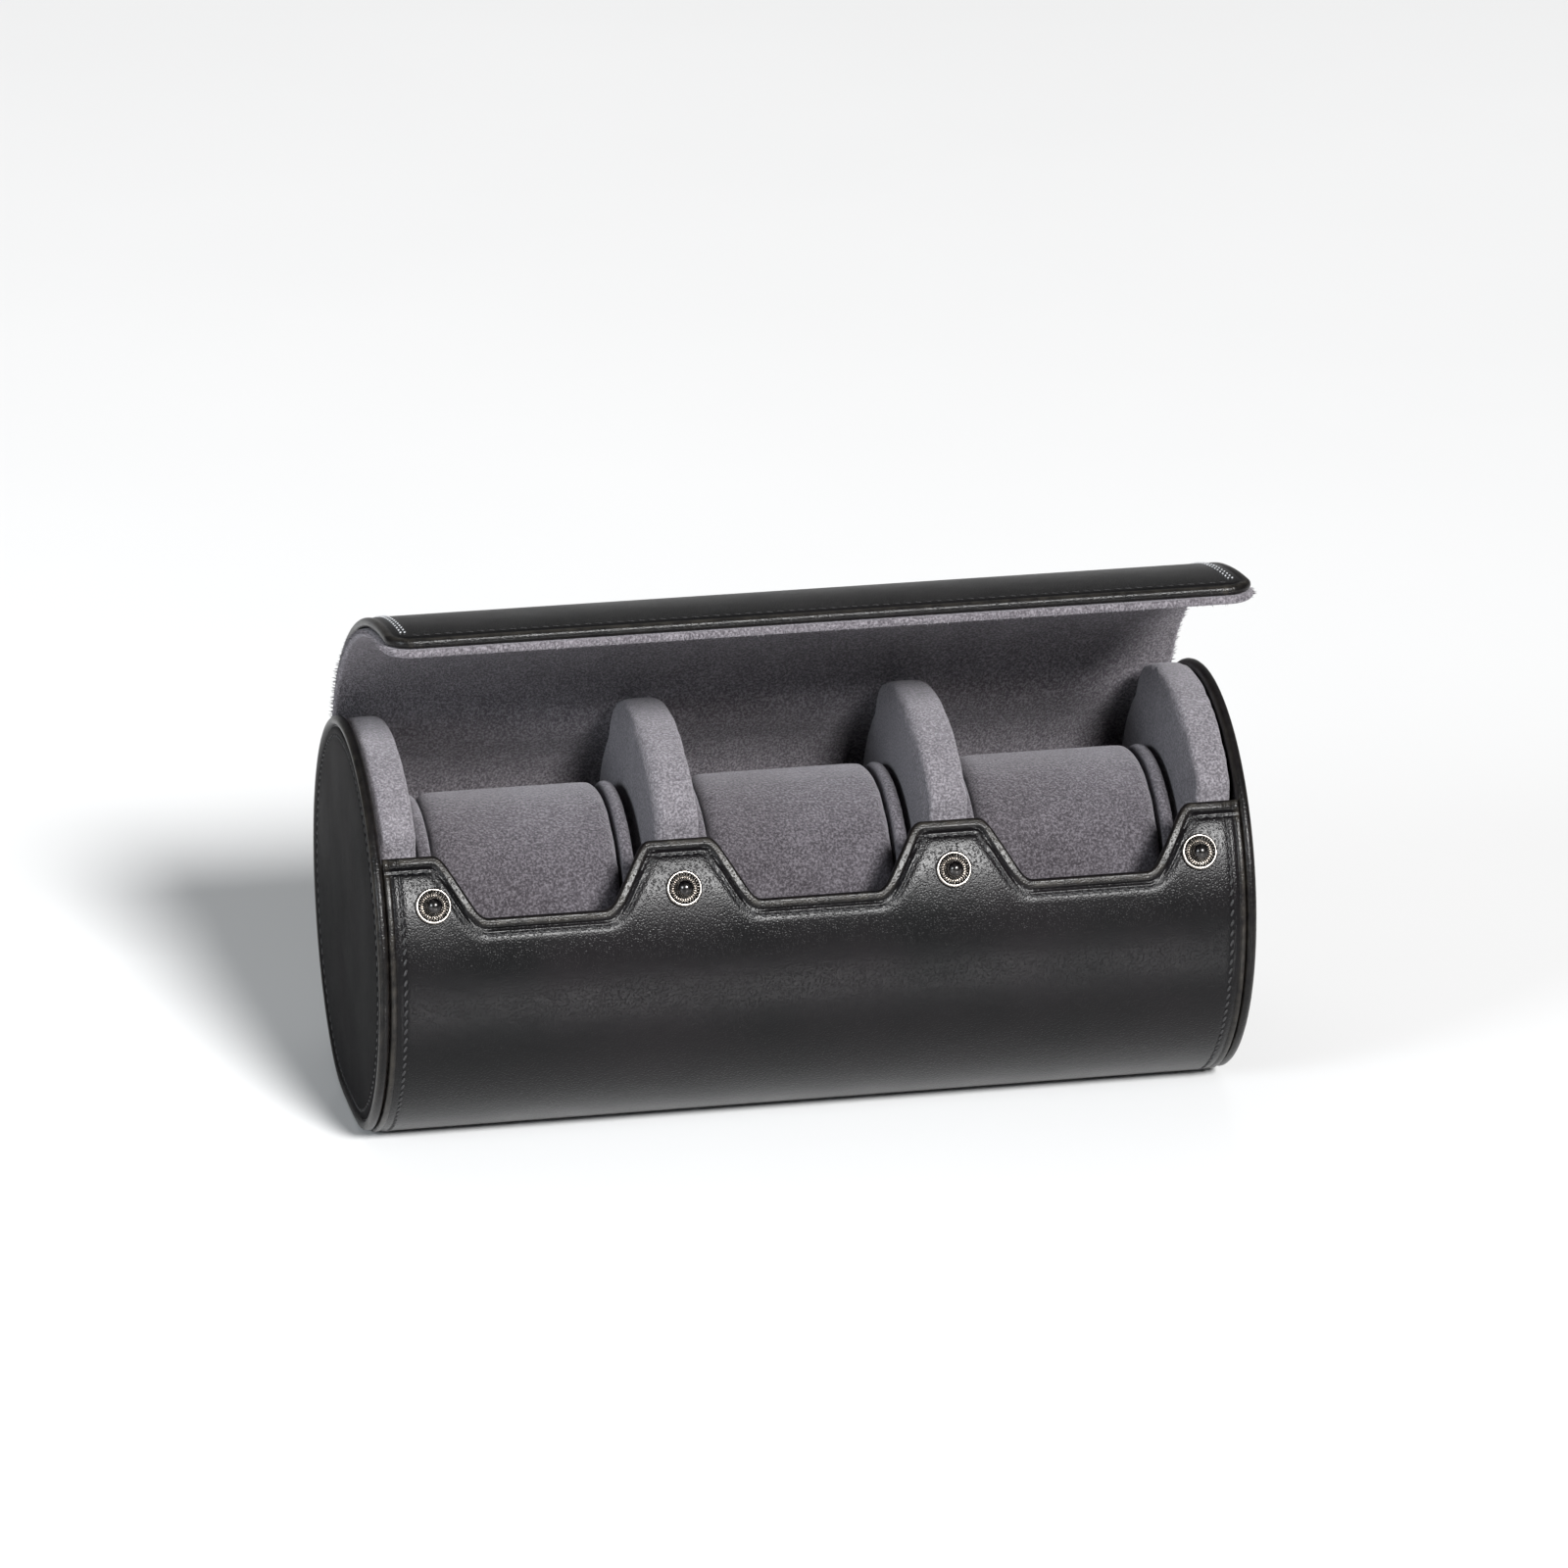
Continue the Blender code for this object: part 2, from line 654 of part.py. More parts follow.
def make_sockets(place, angle, finish, parts):
    """Rings in the lining that the studs' balls snap into."""
    outer, inner = SOCKET_HOLE - GAP, SOCKET_INNER
    edge_depth, chamfer = SOCKET_CHAMFER
    profile = [
        (inner, SOCKET_DEPTH),
        (outer, SOCKET_DEPTH),
        (outer, edge_depth),
        (outer - chamfer, 0.0),
        (inner + chamfer, 0.0),
        (inner, chamfer),
    ]
    sockets = []
    for number, x in enumerate(STUD_PLACES, start=1):
        ring = turned_piece(f"socket_ring_{number}", profile, True, finish["nickel"], parts)
        point_outwards(ring, x, place, angle)
        sockets.append(ring)
    return sockets


def main():
    clear_scene()
    parts = new_collection("jewelry_box")
    cutters = new_collection("cutters")
    finish = finishes()
    make_shell(finish, parts, cutters)
    for side, sign in (("left", -1.0), ("right", 1.0)):
        make_end(side, sign, finish, parts)
    for number, centre in enumerate(DIVIDER_CENTRES, start=1):
        make_divider(number, centre, finish, parts)
    for number, centre in enumerate(PILLOW_CENTRES, start=1):
        make_pillow(number, centre, finish, parts)
    for number, x in enumerate(STUD_PLACES, start=1):
        make_stud(number, x, finish, parts)
    make_flap(finish, parts, cutters)


main()
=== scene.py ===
import math

import bpy
import numpy as np
from mathutils import Matrix, Vector


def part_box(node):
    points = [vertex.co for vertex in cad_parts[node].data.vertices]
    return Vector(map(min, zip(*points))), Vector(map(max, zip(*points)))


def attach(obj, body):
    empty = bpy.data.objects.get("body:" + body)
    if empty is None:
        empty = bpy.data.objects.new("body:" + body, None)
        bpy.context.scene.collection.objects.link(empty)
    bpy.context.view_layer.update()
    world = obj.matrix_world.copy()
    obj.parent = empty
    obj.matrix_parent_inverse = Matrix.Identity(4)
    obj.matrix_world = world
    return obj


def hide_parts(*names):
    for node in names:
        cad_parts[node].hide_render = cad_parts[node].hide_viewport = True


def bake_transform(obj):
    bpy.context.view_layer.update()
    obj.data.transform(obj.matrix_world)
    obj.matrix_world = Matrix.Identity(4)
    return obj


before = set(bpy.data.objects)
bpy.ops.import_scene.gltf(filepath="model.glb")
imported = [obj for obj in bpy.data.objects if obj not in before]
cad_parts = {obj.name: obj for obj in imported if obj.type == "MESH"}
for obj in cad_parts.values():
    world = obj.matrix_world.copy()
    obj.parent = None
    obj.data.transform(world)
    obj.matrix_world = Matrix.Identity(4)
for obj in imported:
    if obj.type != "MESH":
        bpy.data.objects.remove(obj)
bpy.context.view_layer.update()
print("frame loaded:", len(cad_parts), "nodes")

# the roll lies along X, back at +Y; lengths in metres, angles in degrees
roll = {
    "radius": 0.050,
    "axisHeight": 0.048,
    "halfLength": 0.1033,
    "hingeAngle": 45.0,
    "tabAngle": 37.9,
    "notchAngle": 19.6,
    "notchPlaces": (-0.0655, 0.0, 0.0655),
    "notchHalfBottom": 0.0155,
    "notchHalfTop": 0.0242,
    "skin": 0.0023,  # leather on its board
    "liningDepth": 0.0025,
    "lining": 0.0019,
    "cornerSoftness": 0.0016,
    "scallopReach": 0.112,
    "scallopStep": 0.0001,
    "hingeSeam": -0.0087,  # where the flap's leather takes over from the roll's
}
flap = {
    "startHeading": 105.0,
    "turns": (30.0, 17.0, 15.0, 11.0),
    "strip": 0.0276,
    "corner": 0.0065,
    "bendReach": 0.007,
    "liningProud": 0.0005,
}
stud = {
    "angle": 156.4,
    "places": (-0.0923, -0.0325, 0.0325, 0.0923),
    "ringBase": 0.0502,
    "ballHeight": 0.0519,
}


def deselectAll():
    if bpy.context.object and bpy.context.object.mode != "OBJECT":
        bpy.ops.object.mode_set(mode="OBJECT")
    bpy.ops.object.select_all(action="DESELECT")


def useOnly(piece):
    deselectAll()
    piece.select_set(True)
    bpy.context.view_layer.objects.active = piece


def corners(piece):
    places = np.zeros(len(piece.data.vertices) * 3)
    piece.data.vertices.foreach_get("co", places)
    return places.reshape(-1, 3)


def setCorners(piece, places):
    piece.data.vertices.foreach_set("co", np.asarray(places, float).ravel())
    piece.data.update()


def closeUp(piece, merge=0.000002, sharpAt=50.0):
    useOnly(piece)
    bpy.ops.object.mode_set(mode="EDIT")
    bpy.ops.mesh.select_all(action="SELECT")
    bpy.ops.mesh.remove_doubles(threshold=merge)
    bpy.ops.mesh.select_all(action="SELECT")
    bpy.ops.mesh.delete_loose()
    bpy.ops.mesh.select_all(action="SELECT")
    bpy.ops.mesh.normals_make_consistent(inside=False)
    bpy.ops.object.mode_set(mode="OBJECT")
    bpy.ops.object.shade_smooth_by_angle(angle=math.radians(sharpAt))


def joinCopies(piece, seed, matrices):
    # one copy of the seed at each place, all joined to the piece, or to the first copy
    copies = []
    for matrix in matrices:
        copy = seed.copy()
        copy.data = seed.data.copy()
        copy.data.transform(matrix)
        bpy.context.collection.objects.link(copy)
        copies.append(copy)
    bpy.data.objects.remove(seed, do_unlink=True)
    useOnly(piece or copies[0])
    for copy in copies:
        copy.select_set(True)
    bpy.ops.object.join()
    return bpy.context.object


def applyModifier(piece, kind, **settings):
    useOnly(piece)
    modifier = piece.modifiers.new(kind.title(), kind)
    for key, value in settings.items():
        setattr(modifier, key, value)
    bpy.ops.object.modifier_apply(modifier=modifier.name)


# camera, light and floor

studio = {
    "target": (0.0, 0.0, 0.048),
    "azimuth": 11.66,
    "elevation": 20.25,
    "distance": 2.3045,
    "lens": 219.53,
    "aimRight": 0.0010,
    "aimUp": 0.02617,
    "sensor": 36.0,
    "clipEnd": 50.0,
    "floorSize": 12.0,
    "world": 0.16,
    "key": {"place": (0.30, -1.50, 0.96), "power": 6.1, "spread": 12.0},  # a far, wide softbox
    "lamps": (
        # name, place, aim, size, power, colour
        ("topSoftbox", (-0.10, 0.25, 1.40), (0.0, 0.05, 0.06), (1.0, 0.9), 1.8, (1.0, 1.0, 1.0)),
        ("leftFill", (-1.25, -0.85, 0.60), (0.0, 0.0, 0.08), (0.5, 0.5), 14.0, (0.88, 0.95, 1.0)),
    ),
}


def setStudio():
    azimuth, elevation = math.radians(studio["azimuth"]), math.radians(studio["elevation"])
    level = math.cos(elevation)
    forward = Vector((math.sin(azimuth) * level, math.cos(azimuth) * level, -math.sin(elevation)))
    right = Vector((math.cos(azimuth), -math.sin(azimuth), 0.0))
    up = right.cross(forward)
    target = Vector(studio["target"])
    place = target - forward * studio["distance"]
    aim = target + right * studio["aimRight"] + up * studio["aimUp"]
    bpy.ops.object.camera_add(location=place)
    camera = bpy.context.object
    camera.name = "camera"
    camera.rotation_euler = (aim - place).to_track_quat("-Z", "Y").to_euler()
    camera.data.sensor_width = studio["sensor"]
    camera.data.lens = studio["lens"]
    camera.data.clip_end = studio["clipEnd"]
    bpy.context.scene.camera = camera

    key = studio["key"]
    bpy.ops.object.light_add(type="SUN", location=key["place"])
    lamp = bpy.context.object
    lamp.name = "keySoftbox"
    lamp.rotation_euler = Vector(key["place"]).to_track_quat("Z", "Y").to_euler()
    lamp.data.energy = key["power"]
    lamp.data.angle = math.radians(key["spread"])

    for name, place, aim, size, power, colour in studio["lamps"]:
        bpy.ops.object.light_add(type="AREA", location=place)
        lamp = bpy.context.object
        lamp.name = name
        lamp.rotation_euler = (Vector(aim) - Vector(place)).to_track_quat("-Z", "Y").to_euler()
        lamp.data.shape = "RECTANGLE"
        lamp.data.size, lamp.data.size_y = size
        lamp.data.energy = power
        lamp.data.color = colour

    world = bpy.data.worlds.new("studioWorld")
    world.use_nodes = True
    background = world.node_tree.nodes["Background"]
    background.inputs["Color"].default_value = (1.0, 1.0, 1.0, 1.0)
    background.inputs["Strength"].default_value = studio["world"]
    bpy.context.scene.world = world
    bpy.context.scene.view_settings.view_transform = "Standard"

    deselectAll()
    bpy.ops.mesh.primitive_plane_add(size=studio["floorSize"], location=(0.0, 0.0, 0.0))
    floor = bpy.context.object
    floor.name = "floor"
    floor.data.materials.append(floorFinish())


# finishes, with patterns on object coordinates and scales in cycles to the metre


def newFinish(name, colour, roughness, metallic=0.0):
    material = bpy.data.materials.new(name)
    material.use_nodes = True
    shader = material.node_tree.nodes["Principled BSDF"]
    shader.inputs["Base Color"].default_value = (*colour, 1.0)
    shader.inputs["Roughness"].default_value = roughness
    shader.inputs["Metallic"].default_value = metallic
    return material, material.node_tree, shader


def addNode(tree, kind, **inputs):
    node = tree.nodes.new(kind)
    for key, value in inputs.items():
        node.inputs[key.replace("_", " ")].default_value = value
    return node


def noiseAt(tree, coordinates, scale, detail=4.0, roughness=0.55, stretch=None):
    if stretch:
        mapping = addNode(tree, "ShaderNodeMapping", Scale=stretch)
        tree.links.new(coordinates, mapping.inputs["Vector"])
        coordinates = mapping.outputs["Vector"]
    noise = addNode(tree, "ShaderNodeTexNoise", Scale=scale, Detail=detail, Roughness=roughness)
    tree.links.new(coordinates, noise.inputs["Vector"])
    return noise.outputs["Fac"]


def patchesOf(tree, coordinates, scale, detail, stops):
    return rampOf(tree, noiseAt(tree, coordinates, scale, detail), stops)


def rampOf(tree, factor, stops):
    ramp = tree.nodes.new("ShaderNodeValToRGB")
    elements = ramp.color_ramp.elements
    while len(elements) < len(stops):
        elements.new(0.5)
    for element, (position, value) in zip(elements, stops):
        element.position = position
        element.color = (*value, 1.0) if isinstance(value, tuple) else (value, value, value, 1.0)
    tree.links.new(factor, ramp.inputs["Fac"])
    return ramp.outputs["Color"]


def mixed(tree, factor, first, second, blend="MIX"):
    mix = tree.nodes.new("ShaderNodeMix")
    mix.data_type = "RGBA"
    mix.blend_type = blend
    for value, key, kind in ((factor, "Factor", "VALUE"), (first, "A", "RGBA"), (second, "B", "RGBA")):
        socket = next(s for s in mix.inputs if s.name == key and s.type == kind)
        if isinstance(value, (float, tuple)):
            socket.default_value = value if isinstance(value, float) else (*value, 1.0)
        else:
            tree.links.new(value, socket)
    return next(s for s in mix.outputs if s.type == "RGBA")


def calculated(tree, operation, first, second):
    node = tree.nodes.new("ShaderNodeMath")
    node.operation = operation
    for value, socket in zip((first, second), node.inputs):
        if isinstance(value, float):
            socket.default_value = value
        else:
            tree.links.new(value, socket)
    return node.outputs[0]


def bumped(tree, shader, layers):
    before = None
    for height, distance in layers:
        bump = addNode(tree, "ShaderNodeBump", Strength=1.0, Distance=distance)
        tree.links.new(height, bump.inputs["Height"])
        if before:
            tree.links.new(before, bump.inputs["Normal"])
        before = bump.outputs["Normal"]
    tree.links.new(before, shader.inputs["Normal"])


def objectPlaces(tree):
    return tree.nodes.new("ShaderNodeTexCoord").outputs["Object"]


def floorFinish():
    material, tree, shader = newFinish("paleFloor", (0.86, 0.86, 0.86), 0.16)
    shade = patchesOf(tree, objectPlaces(tree), 3.0, 4.0, ((0.3, 0.85), (0.7, 0.87)))
    tree.links.new(shade, shader.inputs["Base Color"])
    return material


leatherLook = {
    "dark": (0.0009, 0.0009, 0.0012),
    "light": (0.0036, 0.0027, 0.0034),
    "worn": (0.026, 0.023, 0.019),
    "wornRoughness": (0.28, 0.28, 0.28),
    "clouds": 34.0,
    "dullPatches": 48.0,
    "rubPatches": 420.0,
    "swell": (90.0, 0.00010),  # scale, and height of the relief
    "pores": (1800.0, 0.000050),
    "grain": (2200.0, 0.000055),
}


def leatherFinish(name, specular, dullness, worn=True):
    look = leatherLook
    material, tree, shader = newFinish(name, look["dark"], 0.40)
    shader.inputs["Specular IOR Level"].default_value = specular
    places = objectPlaces(tree)
    colour = patchesOf(tree, places, look["clouds"], 2.0, ((0.32, look["dark"]), (0.70, look["light"])))
    dullStops = ((0.30, dullness - 0.02), (0.70, dullness + 0.03))
    roughness = patchesOf(tree, places, look["dullPatches"], 2.0, dullStops)
    if worn:
        rub = tree.nodes.new("ShaderNodeAttribute")
        rub.attribute_name = "rub"
        uneven = patchesOf(tree, places, look["rubPatches"], 4.0, ((0.35, 0.15), (0.65, 1.0)))
        rubbed = calculated(tree, "MULTIPLY", rub.outputs["Fac"], uneven)
        colour = mixed(tree, rubbed, colour, look["worn"])
        roughness = mixed(tree, rubbed, roughness, look["wornRoughness"])
    tree.links.new(colour, shader.inputs["Base Color"])
    tree.links.new(roughness, shader.inputs["Roughness"])
    swellScale, swell = look["swell"]
    poreScale, pore = look["pores"]
    grainScale, grain = look["grain"]
    pores = addNode(tree, "ShaderNodeTexVoronoi", Scale=poreScale)
    tree.links.new(places, pores.inputs["Vector"])
    layers = (
        (noiseAt(tree, places, swellScale, 2.0), swell),
        (rampOf(tree, pores.outputs["Distance"], ((0.0, 0.0), (0.5, 1.0))), pore),
        (noiseAt(tree, places, grainScale, 3.0), grain),
    )
    bumped(tree, shader, layers)
    return material


threadLook = {"mottle": 2600.0, "strands": 2400.0, "height": 0.00006, "roughness": 0.55}


def threadFinish(name, dark, light):
    material, tree, shader = newFinish(name, dark, threadLook["roughness"])
    places = objectPlaces(tree)
    colour = patchesOf(tree, places, threadLook["mottle"], 3.0, ((0.35, dark), (0.65, light)))
    tree.links.new(colour, shader.inputs["Base Color"])
    strands = tree.nodes.new("ShaderNodeTexWave")
    strands.inputs["Scale"].default_value = threadLook["strands"]
    tree.links.new(places, strands.inputs["Vector"])
    bumped(tree, shader, ((strands.outputs["Fac"], threadLook["height"]),))
    return material


suedeLook = {
    "roughness": 0.95,
    "specular": 0.15,
    "sheenRoughness": 0.45,
    "sheenTint": (0.86, 0.84, 0.90),
    "brushed": (110.0, 0.00030),  # scale, and height of the relief
    "fibres": (1800.0, 0.00050),
    "fuzz": (6500.0, 0.00012),
    "fibreShare": 0.72,  # how much of the colour the fibres decide
}


def suedeFinish(name, dark, middle, light, nap=(1.0, 1.0, 1.0), sheen=0.35):
    look = suedeLook
    material, tree, shader = newFinish(name, middle, look["roughness"])
    shader.inputs["Specular IOR Level"].default_value = look["specular"]
    shader.inputs["Sheen Weight"].default_value = sheen
    shader.inputs["Sheen Roughness"].default_value = look["sheenRoughness"]
    shader.inputs["Sheen Tint"].default_value = (*look["sheenTint"], 1.0)
    places = objectPlaces(tree)
    brushScale, brush = look["brushed"]
    fibreScale, fibre = look["fibres"]
    fuzzScale, fuzz = look["fuzz"]
    brushed = noiseAt(tree, places, brushScale, 5.0, 0.6, nap)
    fibres = noiseAt(tree, places, fibreScale, 3.0, 0.65, nap)
    colour = rampOf(tree, brushed, ((0.20, dark), (0.50, middle), (0.85, light)))
    fibreColour = rampOf(tree, fibres, ((0.40, dark), (0.50, middle), (0.61, light)))
    colour = mixed(tree, look["fibreShare"], colour, fibreColour)
    tree.links.new(colour, shader.inputs["Base Color"])
    bumped(tree, shader, ((brushed, brush), (fibres, fibre), (noiseAt(tree, places, fuzzScale, 2.0), fuzz)))
    return material


metalLook = {"tarnish": 900.0, "smears": 1600.0, "scuffs": (2500.0, 0.00001)}


def metalFinish(name, dark, light, roughness):
    material, tree, shader = newFinish(name, light, roughness, 1.0)
    places = objectPlaces(tree)
    colour = patchesOf(tree, places, metalLook["tarnish"], 5.0, ((0.32, dark), (0.60, light)))
    tree.links.new(colour, shader.inputs["Base Color"])
    dullStops = ((0.3, roughness * 0.8), (0.7, roughness * 1.3))
    dullness = patchesOf(tree, places, metalLook["smears"], 3.0, dullStops)
    tree.links.new(dullness, shader.inputs["Roughness"])
    scale, height = metalLook["scuffs"]
    bumped(tree, shader, ((noiseAt(tree, places, scale, 3.0), height),))
    return material


finishes = {
    "leather": leatherFinish("blackLeather", specular=0.19, dullness=0.305),
    "endLeather": leatherFinish("dullBlackLeather", specular=0.008, dullness=0.42, worn=False),
    "thread": threadFinish("darkThread", (0.006, 0.006, 0.006), (0.045, 0.044, 0.046)),
    "paleThread": threadFinish("paleThread", (0.30, 0.31, 0.32), (0.62, 0.63, 0.65)),
    "lining": suedeFinish(
        "charcoalSuede",
        (0.050, 0.044, 0.050),
        (0.115, 0.104, 0.115),
        (0.255, 0.236, 0.256),
        nap=(1.0, 0.8, 0.8),
        sheen=0.30,
    ),
    "suede": suedeFinish("greySuede", (0.068, 0.062, 0.069), (0.134, 0.124, 0.136), (0.270, 0.255, 0.275)),
    "pillow": suedeFinish("pillowSuede", (0.028, 0.024, 0.028), (0.067, 0.060, 0.068), (0.156, 0.143, 0.159)),
    "pillowEnd": suedeFinish(
        "pillowEndSuede",
        (0.035, 0.031, 0.036),
        (0.080, 0.073, 0.082),
        (0.165, 0.153, 0.170),
    ),
    "nickel": metalFinish("antiqueNickel", (0.16, 0.145, 0.13), (0.37, 0.34, 0.31), 0.28),
    # the dish inside the stud's rim: a much darker copy of the nickel, painted shade in the recess
    "nickelDish": metalFinish("dishNickelPaintedShade", (0.012, 0.011, 0.010), (0.17, 0.155, 0.14), 0.24),
    "ball": metalFinish("blackNickel", (0.030, 0.029, 0.030), (0.080, 0.076, 0.074), 0.21),
}
print("finishes made")


# the section that all the leather follows: s is 0 at the hinge,
# below it on the roll and above it on the flap


sectionLook = {
    "step": 0.0001,
    "spare": 0.006,  # it goes on this far past both ends
    "easing": 45,  # corners are eased over this many steps each way
    "fixed": 0.020,  # this far below the hinge it lies on the roll's circle
}


def makeSection():
    step = sectionLook["step"]
    radius, axisHeight = roll["radius"], roll["axisHeight"]
    hingeAngle = math.radians(roll["hingeAngle"])
    halfFlat = math.acos(axisHeight / radius)
    backArc = radius * (hingeAngle + math.pi / 2.0 - halfFlat)
    flat = 2.0 * math.sqrt(radius**2 - axisHeight**2)
    frontArc = radius * (math.pi / 2.0 - halfFlat + math.radians(roll["tabAngle"]))
    frontEdge = -(backArc + flat + frontArc)
    flapEnd = flap["strip"] * len(flap["turns"])
    s = np.arange(frontEdge - sectionLook["spare"], flapEnd + sectionLook["spare"], step)
    heading = np.zeros(len(s))
    for i, place in enumerate(s):
        back = -place
        if back > backArc + flat:
            heading[i] = -halfFlat - (back - backArc - flat) / radius
        elif back > backArc:
            heading[i] = 0.0
        elif back > 0.0:
            heading[i] = hingeAngle + math.pi / 2.0 - back / radius
        else:
            strip = min(int(place / flap["strip"]), len(flap["turns"]) - 1)
            turned = sum(flap["turns"][:strip]) + flap["turns"][strip] * (place / flap["strip"] - strip)
            heading[i] = math.radians(flap["startHeading"] + turned)
    reach = sectionLook["easing"]
    padded = np.pad(heading, reach, mode="edge")
    heading = np.convolve(padded, np.ones(2 * reach + 1) / (2 * reach + 1), mode="valid")
    y = np.cumsum(np.cos(heading)) * step
    z = np.cumsum(np.sin(heading)) * step
    known = int(np.searchsorted(s, -sectionLook["fixed"]))
    angle = hingeAngle - sectionLook["fixed"] / radius
    y += radius * math.cos(angle) - y[known]
    z += axisHeight + radius * math.sin(angle) - z[known]
    return {"s": s, "y": y, "z": z, "heading": heading, "frontEdge": frontEdge, "flapEnd": flapEnd}


section = makeSection()


def sectionAt(s):
    y, z, heading = (np.interp(s, section["s"], section[key]) for key in ("y", "z", "heading"))
    return y, z, np.sin(heading), -np.cos(heading), heading


floorGap = 0.00002  # the least height of the leather above the ground


def wrapRound(piece):
    places = corners(piece)
    y, z, outY, outZ, _ = sectionAt(places[:, 1])
    height = places[:, 2]
    wrapped = np.column_stack([places[:, 0], y + outY * height, z + outZ * height])
    wrapped[:, 2] = np.maximum(wrapped[:, 2], floorGap)
    setCorners(piece, wrapped)
    closeUp(piece)


# patterns: sheets laid out flat in x and s, with their edges rolled, then wrapped


def distanceTo(points, line):
    nearest = np.full(len(points), 1.0)  # further than any edge is
    for first, second in zip(line[:-1], line[1:]):
        run = second - first
        along = np.clip((points - first) @ run / max(run @ run, 1e-18), 0.0, 1.0)
        nearest = np.minimum(nearest, np.linalg.norm(points - first - along[:, None] * run, axis=1))
    return nearest


def millimetres(pairs):
    return np.array(pairs, float) * 0.001


# distance in from the edge, and height of the leather there
wallEdge = millimetres(
    (
        (0, -1.15), (0.08, -0.72), (0.25, -0.36), (0.5, -0.08), (0.9, 0.13), (1.3, 0.19), (1.7, 0.13),
        (2.1, -0.06), (2.45, -0.42), (2.7, -0.66), (2.95, -0.50), (3.3, -0.16), (3.6, -0.14), (3.85, -0.28),
        (4.05, -0.36), (4.25, -0.28), (4.6, -0.12), (5.4, 0.0), (7.0, 0.14), (9.0, 0.20),
        (12.0, 0.14), (16.0, 0.0),
    )
)
sideEdge = millimetres(
    (
        (0, -1.15), (0.06, -0.62), (0.2, -0.28), (0.4, -0.04), (0.75, 0.10), (1.1, 0.06), (1.4, -0.10),
        (1.65, -0.34), (1.9, -0.20), (2.3, -0.03), (3.1, 0.0), (3.4, -0.12), (3.6, -0.20), (3.8, -0.12),
        (4.2, 0.0), (6.0, 0.0),
    )
)
flapEdge = millimetres(
    (
        (0, -1.15), (0.06, -0.78), (0.2, -0.46), (0.45, -0.20), (0.8, -0.03), (1.15, 0.03), (1.6, 0.0),
        (2.0, -0.10), (2.3, -0.22), (2.6, -0.12), (3.1, -0.02), (4.0, 0.0), (9.0, 0.0),
    )
)
liningEdge = millimetres(((0, -0.95), (0.06, -0.60), (0.2, -0.33), (0.45, -0.11), (0.8, 0.0), (2.0, 0.0)))

# where rows and columns of faces lie near an edge, in millimetres in from it
sideSteps = (
    (0.0, 0.08, 0.2, 0.4, 0.6, 0.85, 1.1, 1.35, 1.6, 1.85)
    + (2.2, 2.6, 3.0, 3.4, 3.6, 3.8, 4.2, 5.0, 6.0)
)
wallSteps = (
    (0, 0.1, 0.25, 0.45, 0.7, 1.0, 1.3, 1.6, 1.9, 2.15, 2.4, 2.65, 2.9, 3.2, 3.5, 3.8, 4.05, 4.3, 4.6, 5.0)
    + (5.5, 6.0, 6.6, 7.2, 7.8, 8.4, 9.0, 9.8, 10.8, 12.0, 14.0)
)
frontSteps = (
    (9.0, 8.0, 7.2, 6.5, 5.8, 5.1, 4.5, 4.0, 3.5, 3.1, 2.8, 2.5, 2.2, 1.9, 1.6, 1.3, 1.05)
    + (0.8, 0.6, 0.42, 0.27, 0.15, 0.07, 0.02, 0.0)
)
rubWidth = 0.0007
unrubbed = 0.1  # further in than any sheet goes


def markRub(piece, away):
    # away is how far each corner lies from the line that is rubbed most
    attribute = piece.data.attributes.new("rub", "FLOAT", "POINT")
    rub = np.exp(-((away / rubWidth) ** 2))
    attribute.data.foreach_set("value", rub.astype(np.float32))


def makePanel(name, plan, edges, thickness, depth=0.0, finish="leather"):
    # edges are (line, profile, how far in it is rubbed)
    rows, columns = plan.shape[:2]
    deselectAll()
    bpy.ops.mesh.primitive_grid_add(x_subdivisions=columns - 1, y_subdivisions=rows - 1, size=1.0)
    panel = bpy.context.object
    panel.name = name
    flatPlaces = plan.reshape(-1, 2)
    setCorners(panel, np.column_stack([flatPlaces, np.zeros(len(flatPlaces))]))
    bpy.ops.object.mode_set(mode="EDIT")
    bpy.ops.mesh.select_all(action="SELECT")
    bpy.ops.mesh.extrude_region_move(TRANSFORM_OT_translate={"value": (0.0, 0.0, -1.0)})
    bpy.ops.object.mode_set(mode="OBJECT")
    places = corners(panel)
    under = places[:, 2] < -0.5
    top = np.full(len(places), 1.0)
    bottom = np.full(len(places), -thickness)
    fromRub = np.full(len(places), 1.0)
    for line, profile, rubbed in edges:
        away = distanceTo(places[:, :2], line)
        top = np.minimum(top, np.interp(away, profile[:, 0], profile[:, 1]))
        rolled = np.clip(1.0 - away / (thickness / 2.0), 0.0, 1.0)
        bottom = np.maximum(bottom, -thickness + (thickness / 2.0) * (1.0 - np.sqrt(1.0 - rolled**2)))
        fromRub = np.minimum(fromRub, np.abs(away - rubbed))
    places[:, 2] = np.where(under, bottom, top) - depth
    setCorners(panel, places)
    markRub(panel, fromRub)
    panel.data.materials.append(finishes[finish])
    return panel


def scallopAt(x):
    step = roll["scallopStep"]
    xs = np.arange(-roll["scallopReach"], roll["scallopReach"], step)
    drop = roll["radius"] * math.radians(roll["tabAngle"] - roll["notchAngle"])
    slope = roll["notchHalfTop"] - roll["notchHalfBottom"]
    depth = np.zeros(len(xs))
    for middle in roll["notchPlaces"]:
        away = np.abs(xs - middle)
        depth = np.maximum(depth, drop * np.clip((roll["notchHalfTop"] - away) / slope, 0.0, 1.0))
    reach = int(roll["cornerSoftness"] / step)
    depth = np.convolve(depth, np.ones(2 * reach + 1) / (2 * reach + 1), mode="same")
    return section["frontEdge"] + np.interp(x, xs, depth)


